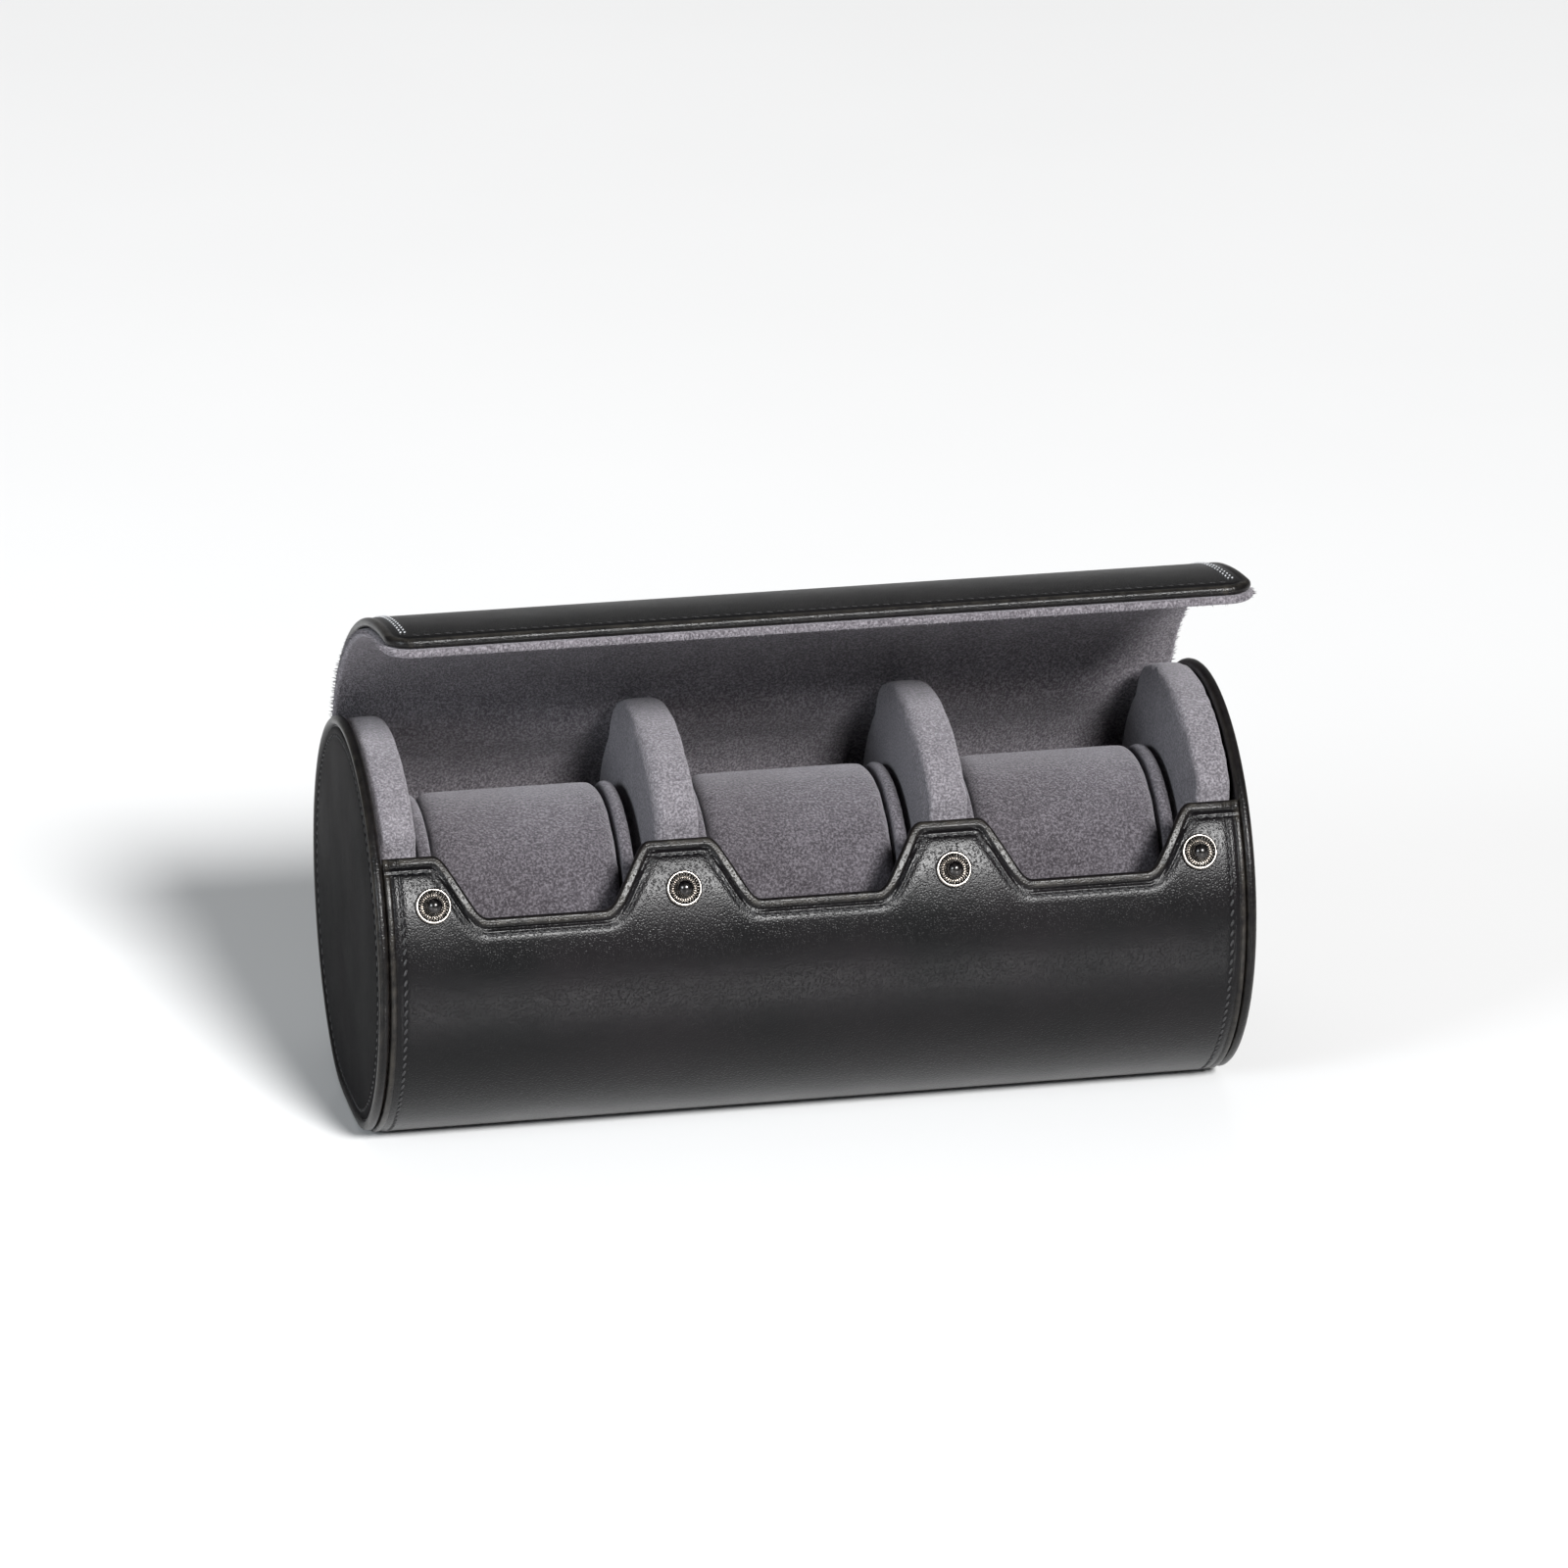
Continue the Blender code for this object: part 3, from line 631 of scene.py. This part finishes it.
stitchLook = {"length": 0.0018, "width": 0.00062, "height": 0.00050, "pitch": 0.0025, "slant": 22.0}
paleStitchLook = {"length": 0.00095, "width": 0.00050, "height": 0.00044, "pitch": 0.0025, "slant": 20.0}


def makeStitch(look, finish):
    deselectAll()
    lying = (0.0, math.radians(90.0), 0.0)
    bpy.ops.mesh.primitive_uv_sphere_add(segments=8, ring_count=6, radius=1.0, rotation=lying)
    stitch = bpy.context.object
    bpy.ops.object.transform_apply(location=False, rotation=True, scale=False)
    places = corners(stitch)
    places[:, 0] = np.sign(places[:, 0]) * np.abs(places[:, 0]) ** 0.8  # blunter ends
    places *= (look["length"] / 2.0, look["width"] / 2.0, look["height"] / 2.0)
    setCorners(stitch, places)
    bpy.ops.object.shade_smooth()
    stitch.data.materials.append(finishes[finish])
    return stitch


def spacedAlong(line, pitch):
    lengths = np.concatenate([[0.0], np.cumsum(np.linalg.norm(np.diff(line, axis=0), axis=1))])
    count = int(lengths[-1] / pitch)
    where = (np.arange(count) + 0.5) * lengths[-1] / count
    x = np.interp(where, lengths, line[:, 0])
    s = np.interp(where, lengths, line[:, 1])
    reach = 0.0006  # the line's direction is read over this much each way
    ahead = np.minimum(where + reach, lengths[-1])
    behind = np.maximum(where - reach, 0.0)
    turnX = np.interp(ahead, lengths, line[:, 0]) - np.interp(behind, lengths, line[:, 0])
    turnS = np.interp(ahead, lengths, line[:, 1]) - np.interp(behind, lengths, line[:, 1])
    return zip(x, s, np.arctan2(turnS, turnX))


def sew(panel, line, look, finish, height):
    places = []
    for x, s, turn in spacedAlong(line, look["pitch"]):
        turning = Matrix.Rotation(turn + math.radians(look["slant"]), 4, "Z")
        places.append(Matrix.Translation((x, s, height)) @ turning)
    joinCopies(panel, makeStitch(look, finish), places)


def columnsFor(halfWidth, spacing):
    sides = [0.001 * step for step in sideSteps]
    inner = halfWidth - sides[-1]
    between = np.linspace(-inner, inner, int(2.0 * inner / spacing) + 1)
    left = [-halfWidth + step for step in sides[:-1]]
    return np.concatenate([left, between, [-x for x in reversed(left)]])


# the roll's outer leather and its lining

wall = {
    "columns": 0.0008,
    "rows": 0.0034,
    "level": -0.190,  # the rows follow the notches less and less, and run straight from here
    "levelling": (0.2, 0.4, 0.6, 0.8),
    "rubbed": 0.0012,
    "sideRubbed": 0.0007,
    "seamInset": 0.00405,
    "seamHeight": -0.00012,
    "sideInset": 0.0036,
    "sideHeight": -0.00010,
    "sideStart": 0.0062,
    "seamStep": 0.0002,
    "liningSide": 0.0003,
    "liningInset": 0.0016,
    "liningColumns": 0.004,
}


def straightRow(x, s):
    return np.column_stack([x, np.full(len(x), s)])


def scallopedPlan(halfWidth, inset, endS, spacing):
    columns = columnsFor(halfWidth, spacing)
    edge = scallopAt(columns) + inset
    rows = [np.column_stack([columns, edge + 0.001 * step]) for step in wallSteps]
    lastRow = rows[-1]
    level = wall["level"]
    for share in wall["levelling"]:
        rows.append(lastRow * (1.0 - share) + straightRow(columns, level) * share)
    for s in np.linspace(level, endS, int((endS - level) / wall["rows"]) + 1):
        rows.append(straightRow(columns, s))
    return np.array(rows)


def insetLine(line, inset):
    run = np.gradient(line, axis=0)
    run /= np.linalg.norm(run, axis=1)[:, None]
    moved = line + np.column_stack([-run[:, 1], run[:, 0]]) * inset
    return moved[distanceTo(moved, line) > inset * 0.985]


def makeRollLeather():
    half = roll["halfLength"]
    plan = scallopedPlan(half, 0.0, roll["hingeSeam"], wall["columns"])
    edges = (
        (plan[0], wallEdge, wall["rubbed"]),
        (plan[:, 0], sideEdge, wall["sideRubbed"]),
        (plan[:, -1], sideEdge, wall["sideRubbed"]),
    )
    leather = makePanel("rollLeather", plan, edges, roll["skin"])
    seamSide = half - wall["sideInset"]
    along = np.arange(-half + wall["sideInset"], seamSide, wall["seamStep"])
    wallLine = insetLine(np.column_stack([along, scallopAt(along)]), wall["seamInset"])
    sew(leather, wallLine, stitchLook, "thread", wall["seamHeight"])
    for side in (-1.0, 1.0):
        ends = np.linspace(section["frontEdge"] + wall["sideStart"], roll["hingeSeam"], 300)
        sideLine = np.column_stack([np.full(300, side * seamSide), ends])
        sew(leather, sideLine, stitchLook, "thread", wall["sideHeight"])
    wrapRound(leather)
    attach(leather, "roll")
    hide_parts("shell_leather", "shell_board", "shell_edge_piping")


def makeRollLining():
    halfWidth = roll["halfLength"] - wall["liningSide"]
    plan = scallopedPlan(halfWidth, wall["liningInset"], roll["hingeSeam"], wall["liningColumns"])
    edges = tuple((line, liningEdge, unrubbed) for line in (plan[0], plan[:, 0], plan[:, -1]))
    lining = makePanel("rollLining", plan, edges, roll["lining"], roll["liningDepth"], "lining")
    wrapRound(lining)
    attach(lining, "roll")
    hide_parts("shell_lining")


# the flap: each piece runs from the middle of one strip to the middle of the next


flapLook = {
    "columns": 0.02,
    "rows": 0.001,
    "firstRow": 0.00015,
    "lastRow": 0.0008,
    "rubbed": 0.0010,
    "sideInsets": (0.0041, 0.0051),  # two rows of pale stitches
    "sideStart": 0.004,
    "sideEnd": 0.0062,
    "sideHeight": 0.00006,
    "frontSide": 0.006,
    "frontInset": 0.0042,
    "frontHeight": -0.00006,
}


def flapPlan(start, end, halfWidth, corner, free):
    spacing = flapLook["columns"]
    first, step = flapLook["firstRow"], flapLook["rows"]
    fine = [0.0, first] + list(np.arange(step, end - start - flapLook["lastRow"], step))
    places = [start + distance for distance in fine]
    if free:
        places = [p for p in places if p < end - 0.001 * frontSteps[0]]
        places += [end - 0.001 * distance for distance in frontSteps]
    else:
        places += [end - first, end]
    rows = []
    for s in places:
        left = max(0.0, corner - (end - s)) if free else 0.0
        half = halfWidth - corner + math.sqrt(max(0.0, corner**2 - left**2))
        rows.append(straightRow(columnsFor(half, spacing), s))
    return np.array(rows)


def outerLines(plan, free):
    return [plan[:, 0], plan[:, -1]] + ([plan[-1]] if free else [])


fringe = {
    "length": 0.0012,
    "width": 0.00034,
    "pitch": 0.00040,
    "from": 0.004,  # where the sides of the flap stand clear of the roll
    "spread": 38.0,
    "frontDroop": (10.0, 46.0),
    "sideDroop": (-22.0, 3.0),  # up, clear of the end panels when the flap is shut
    "heights": (-0.0037, -0.0029),
    "root": 0.0002,
    "bend": 0.25,
    "sizes": (0.6, 1.25),
    "seed": 11,
}


def makeTuft():
    # a bent wisp of suede, with its root at the origin and its tip along Z, in the lighter grey suede rather
    # than the charcoal lining it frays from: a painted highlight for fibres catching the light
    deselectAll()
    bpy.ops.mesh.primitive_cone_add(vertices=3, radius1=fringe["width"] / 2.0, depth=fringe["length"])
    tuft = bpy.context.object
    places = corners(tuft)
    places[:, 2] += fringe["length"] / 2.0
    places[:, 0] += fringe["bend"] * places[:, 2]
    setCorners(tuft, places)
    # lighter grey suede on the lining's fringe: painted highlight where the fibres catch the light
    tuft.data.materials.append(finishes["suede"])
    return tuft


def addFringe(lining, lines):
    # lines are (line, direction out of the sheet, which droop it has)
    chance = np.random.default_rng(fringe["seed"])
    places = []
    for line, outward, droops in lines:
        line = line[line[:, 1] >= fringe["from"]]
        for x, s, turn in spacedAlong(line, fringe["pitch"]):
            out = turn + math.radians(outward)
            aim = out + math.radians(chance.uniform(-fringe["spread"], fringe["spread"]))
            droop = math.radians(chance.uniform(*fringe[droops]))
            level = math.cos(droop)
            way = Vector((math.cos(aim) * level, math.sin(aim) * level, -math.sin(droop)))
            height = chance.uniform(*fringe["heights"])
            root = (x - fringe["root"] * math.cos(out), s - fringe["root"] * math.sin(out), height)
            turned = way.to_track_quat("Z", "Y").to_matrix().to_4x4()
            size = Matrix.Scale(chance.uniform(*fringe["sizes"]), 4)
            places.append(Matrix.Translation(root) @ turned @ size)
    wisps = joinCopies(None, makeTuft(), places)
    wrapRound(wisps)
    useOnly(lining)
    wisps.select_set(True)
    bpy.ops.object.join()


def blendOverJoint(piece):
    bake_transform(piece)


def sewFlap(leather, start, end, free):
    half, look = roll["halfLength"], flapLook
    first = max(start, look["sideStart"])
    last = end - look["sideEnd"] if free else end
    for side in (-1.0, 1.0):
        for inset in look["sideInsets"]:
            row = np.column_stack([np.full(50, side * (half - inset)), np.linspace(first, last, 50)])
            sew(leather, row, paleStitchLook, "paleThread", look["sideHeight"])
    if free:
        across = np.linspace(-half + look["frontSide"], half - look["frontSide"], 50)
        sew(leather, straightRow(across, end - look["frontInset"]), stitchLook, "thread", look["frontHeight"])


def makeFlap():
    strip, half = flap["strip"], roll["halfLength"]
    seams = [roll["hingeSeam"]] + [strip * (i + 0.5) for i in range(3)] + [section["flapEnd"]]
    for number, (start, end) in enumerate(zip(seams, seams[1:]), start=1):
        free = number == len(flap["turns"])
        plan = flapPlan(start, end, half, flap["corner"], free)
        edges = tuple((line, flapEdge, flapLook["rubbed"]) for line in outerLines(plan, free))
        leather = makePanel(f"flapLeather_{number}", plan, edges, roll["skin"])
        sewFlap(leather, start, end, free)
        wrapRound(leather)
        blendOverJoint(leather)
        piping = ["flap_piping"] if free else []
        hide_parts(f"flap_leather_{number}", f"flap_board_{number}", *piping)

        proud = flap["liningProud"]
        plan = flapPlan(start, end + (proud if free else 0.0), half + proud, flap["corner"] + proud, free)
        lines = outerLines(plan, free)
        edges = tuple((line, liningEdge, unrubbed) for line in lines)
        lining = makePanel(f"flapLining_{number}", plan, edges, roll["lining"], roll["liningDepth"], "lining")
        wrapRound(lining)
        if free:
            cutSocketHoles(lining)
        addFringe(lining, list(zip(lines, (90.0, -90.0, 90.0), ("sideDroop", "sideDroop", "frontDroop"))))
        blendOverJoint(lining)
        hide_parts(f"flap_lining_{number}")


# turned pieces


def spinPiece(name, profile, steps, finish, sharpAt=40.0):
    # the profile is (radius, height) pairs round a closed loop, spun about Z
    deselectAll()
    bpy.ops.mesh.primitive_circle_add(vertices=len(profile), radius=1.0)
    piece = bpy.context.object
    piece.name = name
    setCorners(piece, [(radius, 0.0, height) for radius, height in profile])
    bpy.ops.object.mode_set(mode="EDIT")
    bpy.ops.mesh.select_all(action="SELECT")
    bpy.ops.mesh.spin(steps=steps, angle=2.0 * math.pi, center=(0.0, 0.0, 0.0), axis=(0.0, 0.0, 1.0))
    bpy.ops.object.mode_set(mode="OBJECT")
    closeUp(piece, sharpAt=sharpAt)
    piece.data.materials.append(finishes[finish])
    return piece


def placePiece(piece, matrix):
    piece.data.transform(matrix)
    if matrix.determinant() < 0.0:
        piece.data.flip_normals()


def pointedOut(x, y, z, angle):
    return Matrix.Translation((x, y, z)) @ Matrix.Rotation(math.radians(angle - 90.0), 4, "X")


studRing = millimetres(
    (
        (1.45, 0.0), (1.45, 0.30), (1.7, 0.38), (2.0, 0.36), (2.25, 0.34), (2.6, 0.34),
        (3.0, 0.38), (3.35, 0.46), (3.52, 0.62), (3.66, 0.80), (3.86, 0.90), (4.08, 0.84),
        (4.24, 0.64), (4.32, 0.34), (4.24, 0.06), (4.1, 0.0),
    )
)
socketRing = millimetres(
    (
        (2.35, 1.35), (2.35, 0.2), (2.5, -0.12), (2.8, -0.26),
        (3.2, -0.28), (3.45, -0.2), (3.58, 0.0), (3.58, 1.35),
    )
)


studLook = {
    "steps": 210,
    "ribs": 30.0,
    "ribHeight": 0.00026,
    "ribsFrom": 0.0022,
    "dishRadius": 0.0035,
    "dishHeight": 0.0002,
    "ball": 0.0020,
    "stem": 0.0013,
    "stemStart": -0.0014,
    "flange": millimetres(((0.0, -2.2), (3.0, -2.2), (3.2, -2.0), (3.2, -1.6), (3.0, -1.4))),
}


def placeStud(piece, x, base):
    angle = math.radians(stud["angle"])
    height = roll["axisHeight"] + base * math.sin(angle)
    placePiece(piece, pointedOut(x, base * math.cos(angle), height, stud["angle"]))
    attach(piece, "roll")


def makeStudRing(number, x):
    look = studLook
    ring = spinPiece(f"studRing_{number}", studRing, look["steps"], "nickel", 70.0)
    places = corners(ring)
    distance = np.hypot(places[:, 0], places[:, 1])
    ribbed = (distance > look["ribsFrom"]) & (distance < look["dishRadius"])
    ribbed &= places[:, 2] > look["dishHeight"]
    around = np.arctan2(places[:, 1], places[:, 0])
    places[:, 2] += np.where(ribbed, look["ribHeight"] * np.sin(look["ribs"] * around), 0.0)
    setCorners(ring, places)
    # faces in the recessed dish take the darker nickel: painted shade
    ring.data.materials.append(finishes["nickelDish"])
    for face in ring.data.polygons:
        middle = math.hypot(face.center.x, face.center.y)
        inDish = middle < look["dishRadius"] and face.center.z > look["dishHeight"]
        face.material_index = 1 if inDish else 0
    placeStud(ring, x, stud["ringBase"])
    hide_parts(f"stud_ring_{number}")


def makeStudBall(number, x):
    radius, stem = studLook["ball"], studLook["stem"]
    centre = stud["ballHeight"] - roll["radius"]
    profile = [tuple(point) for point in studLook["flange"]]
    profile += [(stem, studLook["stemStart"]), (stem, centre - stem)]
    lowest = math.degrees(math.acos(-stem / radius * 0.98))
    for turn in np.linspace(lowest, 0.0, 14):
        out, up = math.sin(math.radians(turn)), math.cos(math.radians(turn))
        profile.append((radius * out, centre + radius * up))
    ball = spinPiece(f"studBall_{number}", profile, 48, "ball")
    placeStud(ball, x, roll["radius"])
    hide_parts(f"stud_post_{number}")


def makeStuds():
    for number, x in enumerate(stud["places"], start=1):
        makeStudRing(number, x)
        makeStudBall(number, x)


socketHole = {"radius": 0.0034, "depth": 0.008}


def socketPlace(number):
    # the middle of the CAD ring, and the way out of the lining there
    low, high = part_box(f"socket_ring_{number}")
    middle = (low + high) / 2.0
    near = (section["s"] > flap["strip"] * 3.0) & (section["s"] < section["flapEnd"])
    alongY = (section["y"] - middle.y) * np.cos(section["heading"])
    alongZ = (section["z"] - middle.z) * np.sin(section["heading"])
    best = np.argmin(np.where(near, np.abs(alongY + alongZ), 1.0))
    heading = float(section["heading"][best])
    depth = roll["liningDepth"] + roll["lining"]
    y = float(section["y"][best]) - depth * math.sin(heading)
    z = float(section["z"][best]) + depth * math.cos(heading)
    return middle.x, y, z, math.degrees(heading) - 90.0


def cutSocketHoles(lining):
    for number in range(1, len(stud["places"]) + 1):
        x, y, z, angle = socketPlace(number)
        deselectAll()
        bpy.ops.mesh.primitive_cylinder_add(vertices=40, **socketHole)
        cutter = bpy.context.object
        placePiece(cutter, pointedOut(x, y, z, angle))
        applyModifier(lining, "BOOLEAN", operation="DIFFERENCE", object=cutter, solver="EXACT")
        bpy.data.objects.remove(cutter, do_unlink=True)
    bpy.context.view_layer.objects.active = lining


def makeSockets():
    for number in range(1, len(stud["places"]) + 1):
        x, y, z, angle = socketPlace(number)
        ring = spinPiece(f"socketRing_{number}", socketRing, 64, "nickel")
        placePiece(ring, pointedOut(x, y, z, angle))
        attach(ring, "flap_4")
        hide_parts(f"socket_ring_{number}")


# end panels

endPanel = {
    "radius": 0.04985,
    "floorReach": 0.0478,
    "profile": millimetres(
        (
            # radius, and distance from the middle of the roll
            (0.0, 103.5), (46.0, 103.5), (48.6, 103.4), (49.35, 103.6), (49.75, 104.05),
            (49.85, 104.6), (49.7, 105.2),
            (49.3, 105.7), (48.75, 105.95), (48.15, 105.85), (47.7, 105.45), (47.45, 105.05), (47.2, 105.15),
            (46.9, 105.45), (46.3, 105.62), (45.4, 105.6), (45.0, 105.42), (44.6, 105.6), (43.5, 105.72),
            (36.0, 105.9), (24.0, 106.0), (12.0, 106.05), (0.0, 106.05),
        )
    ),
    "stitchRadius": 0.0450,
    "stitchFace": 0.10550,
    "rubbed": 0.0489,
    "discRadius": 0.0471,  # the duller leather inside the piping
    "discFrom": 0.104,
}
floorEasing = 40.0


def softRadius(angle, radius, floorReach):
    # a circle eased into the flat that it stands on
    below = np.maximum(-np.sin(angle), 0.001)
    return (radius**-floorEasing + (floorReach / below) ** -floorEasing) ** (-1.0 / floorEasing)


def makeEndPanel(side, sign):
    panel = spinPiece(f"endPanel_{side}", endPanel["profile"], 160, "leather", 50.0)
    places = corners(panel)
    markRub(panel, np.hypot(places[:, 0], places[:, 1]) - endPanel["rubbed"])
    panel.data.materials.append(finishes["endLeather"])
    for face in panel.data.polygons:
        middle = math.hypot(face.center.x, face.center.y)
        onDisc = middle < endPanel["discRadius"] and face.center.z > endPanel["discFrom"]
        face.material_index = 1 if onDisc else 0
    count = int(2.0 * math.pi * endPanel["stitchRadius"] / stitchLook["pitch"])
    out = Matrix.Translation((0.0, endPanel["stitchRadius"], endPanel["stitchFace"]))
    slanted = Matrix.Rotation(math.radians(stitchLook["slant"]), 4, "Z")
    turns = [Matrix.Rotation(2.0 * math.pi * i / count, 4, "Z") for i in range(count)]
    joinCopies(panel, makeStitch(stitchLook, "thread"), [turn @ out @ slanted for turn in turns])
    placePiece(panel, Matrix.Rotation(math.radians(90.0), 4, "Y"))
    places = corners(panel)
    angle = np.arctan2(places[:, 2], places[:, 1])
    share = softRadius(angle, endPanel["radius"], endPanel["floorReach"]) / endPanel["radius"]
    places[:, 1] *= share
    places[:, 2] *= share
    places[:, 0] *= sign
    places[:, 2] += roll["axisHeight"]
    setCorners(panel, places)
    closeUp(panel)
    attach(panel, "roll")
    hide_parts(f"end_rim_{side}", f"end_board_{side}", f"end_leather_{side}")


# padded pieces

padding = {
    "pressure": 4.0,
    "quality": 4,
    "frames": 20,
    "quickVoxels": 1.6,
    "smooth": 80.0,
}


def plump(piece, voxel, cap):
    # swelled by cloth pressure, no corner moving further than the cap
    coarser = 1.0
    applyModifier(piece, "REMESH", mode="VOXEL", voxel_size=voxel * coarser)
    before = corners(piece)
    useOnly(piece)
    cloth = piece.modifiers.new("Cloth", "CLOTH")
    cloth.settings.use_pressure = True
    cloth.settings.uniform_pressure_force = padding["pressure"]
    cloth.settings.effector_weights.gravity = 0.0
    cloth.settings.quality = padding["quality"]
    cloth.point_cache.frame_start = 1
    cloth.point_cache.frame_end = padding["frames"]
    for number in range(1, padding["frames"] + 1):
        bpy.context.scene.frame_set(number)
    bpy.ops.object.modifier_apply(modifier=cloth.name)
    bpy.context.scene.frame_set(1)
    move = corners(piece) - before
    length = np.maximum(np.linalg.norm(move, axis=1), 1e-9)
    setCorners(piece, before + move * np.minimum(1.0, cap / length)[:, None])
    applyModifier(piece, "SMOOTH", factor=0.5, iterations=1)
    applyModifier(piece, "SUBSURF", levels=1, render_levels=1)


discs = {
    "wallRadius": 0.0453,
    "openRadius": 0.0493,
    "floorReach": 0.0433,
    "back": (50.0, 64.0),
    "front": (135.0, 141.0),
    "edge": 0.0008,
    "shrink": 0.0002,
    "voxel": 0.0013,
    "cap": 0.0005,
    "crown": 0.0004,
    "stiff": 0.020,  # round inside this radius, and fitted to the roll over the next length
    "fitting": 0.020,
    "pads": (("left", -0.1032, -0.0940), ("right", 0.0940, 0.1032)),
    "dividers": (-0.0316, 0.0338),
    "dividerHalf": 0.00515,
}


def easeBetween(angle, limits):
    share = np.clip((angle - limits[0]) / (limits[1] - limits[0]), 0.0, 1.0)
    return share * share * (3.0 - 2.0 * share)


def discRadius(angle):
    turned = np.degrees(angle) % 360.0
    rise = easeBetween(turned, discs["back"]) - easeBetween(turned, discs["front"])
    radius = discs["wallRadius"] + rise * (discs["openRadius"] - discs["wallRadius"])
    return softRadius(angle, radius, discs["floorReach"])


def roundedDisc(radius, low, high, edge):
    profile = [(0.0, low)]
    for turns, level in ((np.linspace(-90.0, 0.0, 6), low + edge), (np.linspace(0.0, 90.0, 6), high - edge)):
        for turn in turns:
            out, up = math.cos(math.radians(turn)), math.sin(math.radians(turn))
            profile.append((radius - edge + edge * out, level + edge * up))
    return profile + [(0.0, high)]


def makeDisc(name, low, high, crown, replaced):
    shrink = discs["shrink"]
    profile = roundedDisc(discs["wallRadius"] - shrink, low + shrink, high - shrink, discs["edge"])
    piece = spinPiece(name, profile, 120, "suede")
    placePiece(piece, Matrix.Rotation(math.radians(90.0), 4, "Y"))
    plump(piece, discs["voxel"], discs["cap"])
    places = corners(piece)
    angle = np.arctan2(places[:, 2], places[:, 1])
    distance = np.hypot(places[:, 1], places[:, 2])
    fitted = discRadius(angle) / discs["wallRadius"]
    share = np.clip((distance - discs["stiff"]) / discs["fitting"], 0.0, 1.0)
    stretch = 1.0 + (fitted - 1.0) * share
    places[:, 1] *= stretch
    places[:, 2] *= stretch
    places[:, 0] = np.clip(places[:, 0], low - crown[0], high + crown[1])
    places[:, 2] += roll["axisHeight"]
    setCorners(piece, places)
    closeUp(piece, sharpAt=padding["smooth"])
    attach(piece, "roll")
    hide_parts(*replaced)


def makeDiscs():
    crown, half = discs["crown"], discs["dividerHalf"]
    for side, low, high in discs["pads"]:
        inward = (0.0, crown) if side == "left" else (crown, 0.0)
        parts = [f"pad_{part}_{side}" for part in ("core", "band", "face")]
        makeDisc(f"endPad_{side}", low, high, inward, parts)
    for number, middle in enumerate(discs["dividers"], start=1):
        parts = [f"divider_{part}_{number}" for part in ("core", "band", "face_left", "face_right")]
        makeDisc(f"divider_{number}", middle - half, middle + half, (crown, crown), parts)


pillow = {
    "radius": 0.0300,
    "height": 0.0487,
    "length": 0.0520,
    "end": 0.0035,
    "places": (-0.0654, 0.0011, 0.0664),
    "shrink": 0.0007,
    "gap": 0.0001,
    "edge": 0.0022,
    "voxel": 0.0020,
    "cap": 0.0011,
    "swell": 0.0003,
    "endInset": 0.0008,
    "endEdge": 0.0014,
    "endCrown": 0.0004,
    "flatCentre": 0.012,
    "crownOver": 0.016,
}


def makePillow(number, middle):
    radius, half, gap = pillow["radius"], pillow["length"] / 2.0, pillow["gap"]
    bodyHalf = half - pillow["end"] - gap
    shrink = pillow["shrink"]
    turnedUp = Matrix.Rotation(math.radians(90.0), 4, "Y")
    turnedUp = Matrix.Translation((middle, 0.0, pillow["height"])) @ turnedUp
    smaller = bodyHalf - shrink / 2.0
    profile = roundedDisc(radius - shrink, -smaller, smaller, pillow["edge"])
    body = spinPiece(f"pillowBody_{number}", profile, 96, "pillow")
    plump(body, pillow["voxel"], pillow["cap"])
    places = corners(body)
    places[:, 2] = np.clip(places[:, 2], -bodyHalf, bodyHalf)
    distance = np.hypot(places[:, 0], places[:, 1])
    tooWide = np.minimum(1.0, (radius + pillow["swell"]) / np.maximum(distance, 1e-6))
    places[:, 0] *= tooWide
    places[:, 1] *= tooWide
    setCorners(body, places)
    placePiece(body, turnedUp)
    closeUp(body, sharpAt=padding["smooth"])
    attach(body, f"pillow_{number}")
    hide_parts(f"pillow_body_{number}")
    for side, sign in (("left", -1.0), ("right", 1.0)):
        near, far = sorted((sign * (bodyHalf + 2.0 * gap), sign * half))
        profile = roundedDisc(radius - pillow["endInset"], near, far, pillow["endEdge"])
        end = spinPiece(f"pillowEnd_{side}_{number}", profile, 120, "pillowEnd")
        places = corners(end)
        distance = np.hypot(places[:, 0], places[:, 1])
        outside = places[:, 2] * sign > (bodyHalf + half) / 2.0
        fall = np.clip((distance - pillow["flatCentre"]) / pillow["crownOver"], 0.0, 1.0)
        places[:, 2] -= np.where(outside, sign * pillow["endCrown"] * fall, 0.0)
        setCorners(end, places)
        placePiece(end, turnedUp)
        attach(end, f"pillow_{number}")
        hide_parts(f"pillow_end_{side}_{number}")


setStudio()
print("studio set")
makeRollLeather()
makeRollLining()
print("roll wrapped")
makeFlap()
print("flap wrapped")
for sideName, sideSign in (("left", -1.0), ("right", 1.0)):
    makeEndPanel(sideName, sideSign)
print("end panels made")
makeStuds()
makeSockets()
print("snaps made")
makeDiscs()
print("pads and dividers made")
for pillowNumber, pillowPlace in enumerate(pillow["places"], start=1):
    makePillow(pillowNumber, pillowPlace)
print("pillows made")

deselectAll()
